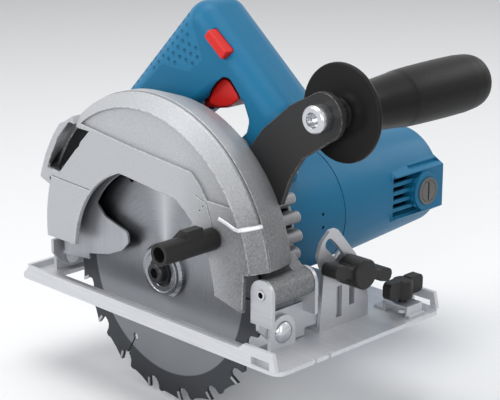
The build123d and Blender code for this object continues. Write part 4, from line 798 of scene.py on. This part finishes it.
def eased(points, steps=8):
    """A smooth curve through the points."""
    result = []
    count = len(points)
    for i in range(count - 1):
        a, b, c, d = (Vector(points[max(0, min(count - 1, i + k))]) for k in (-1, 0, 1, 2))
        square = 2 * a - 5 * b + 4 * c - d
        cube = 3 * b - a - 3 * c + d
        for step in range(steps):
            t = step / steps
            result.append(tuple(0.5 * (2 * b + (c - a) * t + square * t**2 + cube * t**3)))
    return result + [tuple(points[-1])]


def edge_distance(place, border):
    """Distance of a point inside a closed outline from its border, negative outside."""
    inside = False
    nearest = 1.0
    for a, b in zip(border, border[1:] + border[:1]):
        if (a.y > place.y) != (b.y > place.y):
            crossing = (b.x - a.x) * (place.y - a.y) / (b.y - a.y) + a.x
            inside = inside != (place.x < crossing)
        line = b - a
        share = max(0.0, min(1.0, (place - a).dot(line) / line.length_squared))
        nearest = min(nearest, (a + line * share - place).length)
    return nearest if inside else -nearest


def surface_tree(node):
    """A search tree over a CAD node's faces."""
    mesh = frame["nodes"][node].data
    return BVHTree.FromPolygons([v.co for v in mesh.vertices], [f.vertices for f in mesh.polygons])


def bead_tree():
    """Geometry nodes: a small ball on every point of a mesh."""
    tree = bpy.data.node_groups.new("BallsOnPoints", "GeometryNodeTree")
    tree.interface.new_socket("Geometry", in_out="INPUT", socket_type="NodeSocketGeometry")
    radius = tree.interface.new_socket("Ball Radius", in_out="INPUT", socket_type="NodeSocketFloat")
    radius.default_value = 0.001
    material = tree.interface.new_socket("Ball Finish", in_out="INPUT", socket_type="NodeSocketMaterial")
    tree.interface.new_socket("Geometry", in_out="OUTPUT", socket_type="NodeSocketGeometry")
    ins, outs = tree.nodes.new("NodeGroupInput"), tree.nodes.new("NodeGroupOutput")
    ball = tree.nodes.new("GeometryNodeMeshIcoSphere")
    ball.inputs["Subdivisions"].default_value = 3
    place = tree.nodes.new("GeometryNodeInstanceOnPoints")
    solid = tree.nodes.new("GeometryNodeRealizeInstances")
    finish = tree.nodes.new("GeometryNodeSetMaterial")
    tree.links.new(ins.outputs["Ball Radius"], ball.inputs["Radius"])
    tree.links.new(ins.outputs["Geometry"], place.inputs["Points"])
    tree.links.new(ball.outputs["Mesh"], place.inputs["Instance"])
    tree.links.new(place.outputs["Instances"], solid.inputs["Geometry"])
    tree.links.new(solid.outputs["Geometry"], finish.inputs["Geometry"])
    tree.links.new(ins.outputs["Ball Finish"], finish.inputs["Material"])
    tree.links.new(finish.outputs["Geometry"], outs.inputs["Geometry"])
    return tree, radius.identifier, material.identifier


def balls_at(name, places, radius, material):
    """One object of balls, a cutter for dimples."""
    mesh = bpy.data.meshes.new(name)
    mesh.from_pydata([tuple(place) for place in places], [], [])
    obj = loose_object(name, mesh)
    tree, radius_id, material_id = bead_tree()
    spread_balls = obj.modifiers.new("balls", "NODES")
    spread_balls.node_group = tree
    spread_balls[radius_id] = radius
    spread_balls[material_id] = MATERIALS[material]
    baked(obj)
    return obj


def paint(node, material):
    """Gives a CAD node a finish and leaves its shape."""
    obj = frame["nodes"][node]
    if not obj.data.materials:
        obj.data.materials.append(MATERIALS[material])
    for index in range(len(obj.data.materials)):
        obj.data.materials[index] = MATERIALS[material]


# Operators, one for each group of pieces


class SAW_OT_stage(bpy.types.Operator):
    """Floor, backdrop, lamps and the camera at the photograph's angle"""
    bl_idname = "saw.stage"
    bl_label = "Studio"

    def execute(self, context):
        scene = context.scene
        scene.view_settings.view_transform = "Standard"
        self.backdrop(scene)
        self.floor(scene.saw_sizes.floor_height)
        for lamp in LAMPS:
            self.lamp(*lamp)
        self.camera(scene)
        return {"FINISHED"}

    def backdrop(self, scene):
        """White where it is seen, a dimmer and cooler sky where it only lights."""
        world = bpy.data.worlds.new("StudioWorld")
        scene.world = world
        world.use_nodes = True
        tree = world.node_tree
        lamp_sky = tree.nodes["Background"]
        lamp_sky.inputs["Color"].default_value = (0.93, 0.95, 1.0, 1.0)
        lamp_sky.inputs["Strength"].default_value = SKY_STRENGTH
        white = add_node(tree, "ShaderNodeBackground")
        white.inputs["Color"].default_value = (1.0, 1.0, 1.0, 1.0)
        white.inputs["Strength"].default_value = 1.0
        mix = add_node(tree, "ShaderNodeMixShader")
        path = add_node(tree, "ShaderNodeLightPath")
        seen = maths(tree, "MAXIMUM", path.outputs["Is Camera Ray"], path.outputs["Is Glossy Ray"])
        seen = maths(tree, "MAXIMUM", seen, path.outputs["Is Transmission Ray"])
        tree.links.new(seen, mix.inputs["Fac"])
        tree.links.new(lamp_sky.outputs["Background"], mix.inputs[1])
        tree.links.new(white.outputs["Background"], mix.inputs[2])
        tree.links.new(mix.outputs["Shader"], tree.nodes["World Output"].inputs["Surface"])

    def floor(self, height):
        half = 4.0
        corners = [(-half, -half), (half, -half), (half, half), (-half, half)]
        mesh = bpy.data.meshes.new("StudioFloor")
        mesh.from_pydata([(x, y, height) for x, y in corners], [], [(0, 1, 2, 3)])
        material, _, shader = blank_material("PaleFloor", Roughness=0.75)
        shader.inputs["Base Color"].default_value = (0.86, 0.865, 0.87, 1.0)
        mesh.materials.append(material)
        obj = loose_object("StudioFloor", mesh)

    def lamp(self, name, place, width, height, watts):
        data = bpy.data.lights.new(name, "AREA")
        data.shape = "RECTANGLE"
        data.size = width
        data.size_y = height
        data.energy = watts
        aim = Vector(LAMP_AIM) - Vector(place)
        turn = aim.to_track_quat("-Z", "Y").to_matrix().to_4x4()
        loose_object(name, data).matrix_world = Matrix.Translation(place) @ turn

    def camera(self, scene):
        azimuth, elevation = (radians(angle) for angle in CAMERA_ANGLES)
        back = Vector((sin(azimuth) * cos(elevation), -cos(azimuth) * cos(elevation), sin(elevation)))
        right = Vector((cos(azimuth), sin(azimuth), 0.0))
        up = back.cross(right)
        data = bpy.data.cameras.new("PhotoCamera")
        data.sensor_fit = "HORIZONTAL"
        data.sensor_width = CAMERA_SENSOR
        data.lens = CAMERA_LENS
        turn = Matrix((right, up, back)).transposed().to_4x4()
        obj = loose_object("PhotoCamera", data)
        obj.matrix_world = Matrix.Translation(CAMERA_PLACE) @ turn
        scene.camera = obj


class SAW_OT_castings(bpy.types.Operator):
    """Upper guard and gear housing"""
    bl_idname = "saw.castings"
    bl_label = "Guard castings"

    def execute(self, context):
        edge = context.scene.saw_sizes.cast_edge
        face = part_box("upper_guard")[0][1]
        dress("upper_guard", "guard_cast", edge, CASTING_ANGLE, cutters=self.guard_cutters(face))
        dress("gear_housing", "guard_cast", edge, CASTING_ANGLE)
        dress("housing_screws", "bright", HARDWARE_EDGE)
        added_piece(self.guard_step(face), "highlight_cast", "upper_guard")
        return {"FINISHED"}

    def guard_cutters(self, face):
        """The chip outlet and its shoulder, two fine lines and three holes; outlines are X and Z."""
        outside = face - 0.002
        outlet_depth, shoulder_depth = 0.0075, 0.0112
        line_width, line_depth = 0.0006, 0.0005
        crease_width, crease_depth = 0.0008, 0.0006
        mark_radius, mark_depth = 0.0006, 0.003
        eye_radius, eye_depth = 0.0014, 0.009
        outlet = [
            (-0.0673, 0.1055), (-0.0454, 0.1049), (-0.0543, 0.0964), (-0.0556, 0.0935),
            (-0.0584, 0.0915), (-0.0755, 0.0735), (-0.0872, 0.0745), (-0.0801, 0.0880),
            (-0.0736, 0.0981),
        ]
        shoulder = [
            (-0.0775, 0.1033), (-0.0705, 0.1064), (-0.0656, 0.1093), (-0.0620, 0.1124),
            (-0.0620, 0.1180), (-0.0820, 0.1180),
        ]
        corner = [(0.0474, 0.0853), (0.0569, 0.0825), (0.0622, 0.0681), (0.0567, 0.0664)]
        crease = [(-0.0855, 0.0700), (-0.0670, 0.0691), (-0.0462, 0.0682)]
        holes = [
            ((0.0509, face, 0.0769), mark_radius, mark_depth),
            ((0.0537, face, 0.0800), mark_radius, mark_depth),
            ((-0.0862, face, 0.0668), eye_radius, eye_depth),
        ]
        return [
            prism_cutter("chip_outlet", outlet, "Y", outside, face + outlet_depth),
            prism_cutter("chute_shoulder", shoulder, "Y", outside, face + shoulder_depth),
            groove_cutter("corner_line", corner, face, line_width, line_depth),
            groove_cutter("side_crease", crease, face, crease_width, crease_depth),
            drill_cutter("face_holes", holes, "Y"),
        ]

    def guard_step(self, face):
        """The rib that crosses the face, turns down the rounded edge and ends on the side, coloured as a
        painted highlight.
        """
        width, height = 0.0030, 0.0006
        outward = Vector((0.0, -1.0, 0.0))
        slope = Vector((0.68, -0.68, 0.27))
        side = Vector((0.92, 0.0, 0.38))
        stations = [
            ((0.0666, face, 0.0757), outward), ((0.0732, face, 0.0741), outward),
            ((0.0792, face, 0.0722), outward), ((0.0822, face, 0.0722), outward + slope),
            ((0.0847, -0.0190, 0.0728), slope), ((0.0893, -0.0139, 0.0740), slope),
            ((0.0906, -0.0123, 0.0744), slope + side), ((0.0911, -0.0104, 0.0745), side),
        ]
        return raised_strip("guard_step", stations, width, height)


class SAW_OT_sole(bpy.types.Operator):
    """Sole plate, brackets, quadrant, clamps and fence fittings"""
    bl_idname = "saw.sole"
    bl_label = "Sole and brackets"

    def execute(self, context):
        sizes = context.scene.saw_sizes
        for node in ("bevel_quadrant", "fence_bridge", "front_bracket", "rear_bracket"):
            dress(node, "zinc", sizes.sheet_edge)
        dress("base_plate", "plate_zinc", PLATE_EDGE, segments=3)
        tip_place, tip_size = (-0.025, 0.014, 0.1336), (0.05, 0.008, 0.0128)
        tip = block_cutter("guide_tip", [(tip_place, tip_size)])
        dress("depth_guide", "zinc", sizes.sheet_edge, cutters=[tip])
        for node in ("bevel_rivets", "quadrant_rivets", "guide_rivets", "depth_pivot_pin",
                     "bevel_clamp_bolt", "bevel_clamp_washer", "depth_clamp_stud"):
            dress(node, "bright", HARDWARE_EDGE)
        added_piece(self.rivet_dome(), "bright", "bevel_rivets")
        for node in ("bevel_wing_knob", "fence_wing_screw", "depth_clamp_lever"):
            dress(node, "black", sizes.mould_edge)
        return {"FINISHED"}

    def rivet_dome(self):
        """The domed head on the front tab."""
        place, half_sizes, smooth_angle = (0.0975, 0.0, 0.0115), (0.0032, 0.0066, 0.0066), 60.0
        shape = bmesh.new()
        matrix = Matrix.Translation(place) @ Matrix.Diagonal((*half_sizes, 1.0))
        bmesh.ops.create_uvsphere(shape, u_segments=40, v_segments=24, radius=1.0, matrix=matrix)
        dome = loose_object("front_rivet_dome", mesh_from(shape, "front_rivet_dome"))
        smooth_by_angle(dome.data, smooth_angle)
        return dome


class SAW_OT_blade(bpy.types.Operator):
    """Blade with tips, flanges, bolt, lower guard and its lever"""
    bl_idname = "saw.blade"
    bl_label = "Blade and lower guard"

    def execute(self, context):
        sizes = context.scene.saw_sizes
        dress("saw_blade", "blade", BLADE_EDGE)
        dress("carbide_tips", "carbide", TIP_EDGE)
        dress("outer_flange", "flange_steel", HARDWARE_EDGE)
        dress("inner_flange", "dark_steel", HARDWARE_EDGE)
        dress("blade_bolt", "dark_steel", HARDWARE_EDGE)
        dress("lower_guard", "guard_sheet", sizes.sheet_edge)
        dress("guard_lever", "black", sizes.mould_edge)
        dress("lever_screw", "bright", HARDWARE_EDGE)
        return {"FINISHED"}


class SAW_OT_handle(bpy.types.Operator):
    """Main handle shells, dimpled grip cover, trigger and buttons"""
    bl_idname = "saw.handle"
    bl_label = "Main handle"

    def execute(self, context):
        sizes = context.scene.saw_sizes
        cutters = self.trigger_cutters()
        added_piece(self.trigger_side(), "red", "trigger")
        dress("handle_right", "blue", sizes.seam_edge, SHELL_ANGLE, cutters=cutters)
        dress("handle_left", "blue", sizes.seam_edge, SHELL_ANGLE)
        places = self.dimple_places(sizes)
        dimples = balls_at("grip_dimples", places, sizes.dimple_radius, "soft_blue")
        dress("grip_pad", "soft_blue", PAD_EDGE, SHELL_ANGLE, cutters=[dimples])
        dress("handle_screws", "dark_steel", HARDWARE_EDGE)
        dress("trigger", "red", TRIGGER_EDGE, segments=3)
        dress("lock_off_button", "red", BUTTON_EDGE, segments=3)
        dress("cord_bush", "black", BUSH_EDGE)
        return {"FINISHED"}

    def leaning_prism(self, name, outline, start, end):
        """A prism between two Y levels that leans with the trigger; its outline is X and Z in mm."""
        outer_face, lean_x, lean_z = 0.019, -1.05, -0.34
        return slanted(prism_cutter(name, metres(outline), "Y", start, end), outer_face, lean_x, lean_z)

    def trigger_cutters(self):
        """The notch round the trigger, and behind it the room that the trigger swings through."""
        notch = [
            (14, 119), (17, 127.5), (19.8, 134.6), (24, 139.8), (29.4, 143.8), (33, 144.3), (36.4, 143),
            (43, 136), (45.5, 131), (45.5, 124), (30, 118),
        ]
        room = [
            (13.4, 128.7), (13.7, 127.7), (15.9, 125.6), (22.8, 124.2), (33.3, 125.3), (40.8, 129.3),
            (43.1, 131.7), (43.8, 132.5), (42.8, 135.5), (36.2, 142.7), (33, 144), (28, 143.3),
            (22.1, 139.9), (17.1, 135.2),
        ]
        return [
            self.leaning_prism("trigger_notch", notch, 0.012, 0.0318),
            self.leaning_prism("trigger_room", room, 0.0238, 0.0322),
        ]

    def trigger_side(self):
        """The trigger's near side, which fills the notch."""
        outline = [
            (17.8, 127.4), (20.6, 134), (24.8, 139), (29.8, 142.8), (32.8, 143.2), (35.8, 142),
            (42, 135.4), (43, 132.6), (36.5, 128.2), (27, 125.6), (20.2, 125.8),
        ]
        side = self.leaning_prism("trigger_side", outline, 0.0245, 0.0314)
        softened = side.modifiers.new("round", "BEVEL")
        softened.width = SIDE_ROUND
        softened.segments = 3
        baked(side)
        smooth_by_angle(side.data, SHELL_ANGLE)
        return side

    def dimple_places(self, sizes):
        """Staggered rows along the grip, on both sides, kept clear of the cover's border and seam."""
        border = [
            (-56, 114), (-22.6, 143.2), (0.8, 142), (12.9, 150.8), (4.3, 171.6), (-1.7, 182.7),
            (-62.7, 120.7),
        ]
        border = [Vector(point) for point in metres(border)]
        corner, along = border[-1], Vector((0.7, 0.7141))
        across = Vector((-along.y, along.x))
        row_share, stagger, ball_rise, least_facing = 0.8, 0.5, 0.45, 0.45
        middle_y, seam_strip = 0.038, 0.008
        near_y, far_y = -0.05, 0.15
        pitch = sizes.dimple_pitch
        tree = surface_tree("grip_pad")
        places = []
        for row in range(-14, 3):
            for step in range(30):
                forward = along * pitch * (step + stagger * (row % 2))
                place = corner + forward + across * pitch * row_share * row
                if edge_distance(place, border) < sizes.dimple_border:
                    continue
                for start, aim in ((near_y, 1.0), (far_y, -1.0)):
                    ray = Vector((0.0, aim, 0.0))
                    hit, normal, _, _ = tree.ray_cast(Vector((place.x, start, place.y)), ray)
                    if hit is None or abs(hit.y - middle_y) <= seam_strip:
                        continue
                    if -normal.y * aim > least_facing:
                        places.append(hit + normal * sizes.dimple_radius * ball_rise)
        return places


class SAW_OT_motor(bpy.types.Operator):
    """Motor case with its seam, pockets and vents, brush caps and spindle lock"""
    bl_idname = "saw.motor"
    bl_label = "Motor"

    def execute(self, context):
        mould_edge = context.scene.saw_sizes.mould_edge
        dress("motor_housing", "blue", mould_edge, CASTING_ANGLE, cutters=self.case_cutters())
        dress("brush_caps", "grey_cap", CAP_EDGE, cutters=[self.cap_ring(way) for way in (1, -1)])
        dress("motor_screws", "bright", HARDWARE_EDGE)
        dress("spindle_lock_button", "black", LOCK_EDGE)
        return {"FINISHED"}

    def pocket_outline(self):
        """Y and Z of a vent pocket: straight in front, hollowed round the brush cap behind."""
        start, neck, half_height = 0.1512, BRUSH_Y - 0.0030, 0.0135
        cap_radius, rise_step = 0.0134, 0.00132
        outline = [(start, -half_height), (neck, -half_height)]
        for step in range(-10, 11):
            rise = rise_step * step
            outline.append((BRUSH_Y - (cap_radius**2 - rise**2) ** 0.5, rise))
        outline += [(neck, half_height), (start, half_height)]
        return [(y, MOTOR_AXIS[1] + z) for y, z in outline]

    def case_cutters(self):
        """Vent pockets, end slots and small holes on both sides, and the seam round the case."""
        axis_x, axis_z = MOTOR_AXIS
        pad_reach, pocket_depth, pocket_clear = 0.0372, 0.0019, 0.006
        slot_depth, slot_y, slot_rise, slot_size = 0.0020, 0.1850, 0.0168, (0.0085, 0.0300, 0.0024)
        hole_reach, hole_radius, hole_length = 0.040, 0.0011, 0.008
        hole_places = ((0.0819, 0.0520), (0.0817, 0.0438))
        seam_inner, seam_outer, seam_start, seam_end = 0.0394, 0.0420, 0.1013, 0.1021
        slots, holes, cutters = [], [], []
        for way in (1, -1):
            wall = axis_x + way * pad_reach
            start, end = sorted((wall - way * pocket_depth, wall + way * pocket_clear))
            cutters.append(prism_cutter("vent_pocket", self.pocket_outline(), "X", start, end))
            slots.append(((wall - way * slot_depth, slot_y, axis_z + slot_rise), slot_size))
            for y, z in hole_places:
                holes.append(((axis_x + way * hole_reach, y, z), hole_radius, hole_length))
        return cutters + [
            ring_cutter("case_seam", MOTOR_AXIS, seam_inner, seam_outer, seam_start, seam_end),
            block_cutter("end_slots", slots),
            drill_cutter("case_holes", holes, "X"),
        ]

    def cap_ring(self, way):
        """A round groove in the face of a brush cap."""
        inner, outer, half_depth, cap_reach = 0.0066, 0.0074, 0.0006, 0.0406
        ring = ring_cutter("cap_ring", (0.0, 0.0), inner, outer, -half_depth, half_depth)
        face = Matrix.Translation((MOTOR_AXIS[0] + way * cap_reach, BRUSH_Y, MOTOR_AXIS[1]))
        ring.data.transform(face @ Matrix.Rotation(pi / 2, 4, "Z"))
        return ring


class SAW_OT_side_handle(bpy.types.Operator):
    """Side arm, bolt, spacer and grip with its hand disc"""
    bl_idname = "saw.side_handle"
    bl_label = "Side handle"

    def execute(self, context):
        smooth_angle = 38.0
        dress("aux_arm", "black_sheet", ARM_EDGE)
        dress("aux_bolt", "bright", ARM_EDGE)
        dress("aux_spacer", "bright", SPACER_EDGE)
        low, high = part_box("aux_grip")
        mesh = lathe_y("side_grip", SIDE_GRIP_AXIS, self.profile(low[1], high[1]))
        obj = loose_object("side_grip", mesh)
        smooth_by_angle(mesh, smooth_angle)
        finish_piece(obj, "grip_black", "aux_grip")
        return {"FINISHED"}

    def profile(self, start, end):
        """Radius and Y along the grip: hub, hand disc, waist, raised matt half and rounded end."""
        disc = start + 0.002
        matt_rise = 0.0002
        grip = eased([
            (0.0140, disc + 0.0050), (0.0138, disc + 0.012), (0.0141, disc + 0.024),
            (0.0152, disc + 0.038), (0.0163, disc + 0.052), (0.0168, disc + 0.068),
            (0.0170, disc + 0.086), (0.0169, disc + 0.102),
        ])
        plain = [(radius, y) for radius, y in grip if y <= MATT_START]
        matt = [(radius + matt_rise, y) for radius, y in grip if y > MATT_START]
        cap = eased([
            (0.0168, end - 0.0145), (0.0163, end - 0.0090), (0.0148, end - 0.0040),
            (0.0115, end - 0.0009),
        ])
        return [
            (0.0, start), (0.0070, start), (0.0074, start + 0.0004), (0.0088, disc - 0.0002),
            (0.0268, disc + 0.0007), (0.0277, disc + 0.0010), (0.0280, disc + 0.0018),
            (0.0280, disc + 0.0028), (0.0277, disc + 0.0035), (0.0268, disc + 0.0038),
            (0.0160, disc + 0.0044), (0.0146, disc + 0.0047),
            *plain, *matt, *cap, (0.0085, end), (0.0, end),
        ]


class SAW_OT_inner(bpy.types.Operator):
    """Gears, bearings and motor parts inside the cases"""
    bl_idname = "saw.inner"
    bl_label = "Inner parts"

    def execute(self, context):
        finishes = {
            "bright": ("spindle", "spindle_gear", "armature_shaft", "spindle_bearings",
                       "armature_bearings", "guard_retainer", "guard_spring", "trigger_pin"),
            "core": ("stator_core", "armature_core"),
            "copper": ("field_coils", "armature_windings", "commutator"),
            "carbon": ("carbon_brushes", "brush_holders"),
            "black": ("fan", "switch_body"),
            "cast": ("bearing_plate",),
        }
        for material, nodes in finishes.items():
            for node in nodes:
                paint(node, material)
        return {"FINISHED"}


class SAW_PT_panel(bpy.types.Panel):
    """Lists the steps that dress the saw"""
    bl_idname = "SAW_PT_panel"
    bl_label = "Circular saw"
    bl_space_type = "VIEW_3D"
    bl_region_type = "UI"
    bl_category = "Saw"

    def draw(self, context):
        for holder in (context.scene.saw_sizes, context.scene.saw_colours):
            box = self.layout.box()
            for name in holder.__annotations__:
                box.prop(holder, name)
        for step in STEPS:
            self.layout.operator(step.bl_idname)


STEPS = (
    SAW_OT_stage, SAW_OT_castings, SAW_OT_sole, SAW_OT_blade, SAW_OT_handle, SAW_OT_motor,
    SAW_OT_side_handle, SAW_OT_inner,
)
CLASSES = (SawSizes, SawColours, *STEPS, SAW_PT_panel)


def register():
    for item in CLASSES:
        bpy.utils.register_class(item)
    bpy.types.Scene.saw_sizes = bpy.props.PointerProperty(type=SawSizes)
    bpy.types.Scene.saw_colours = bpy.props.PointerProperty(type=SawColours)


def unregister():
    del bpy.types.Scene.saw_colours
    del bpy.types.Scene.saw_sizes
    for item in reversed(CLASSES):
        bpy.utils.unregister_class(item)


def main():
    register()
    make_materials(bpy.context.scene.saw_colours)
    bpy.ops.saw.stage()
    bpy.ops.saw.castings()
    bpy.ops.saw.sole()
    bpy.ops.saw.blade()
    bpy.ops.saw.handle()
    bpy.ops.saw.motor()
    bpy.ops.saw.side_handle()
    bpy.ops.saw.inner()


if __name__ == "__main__":
    main()
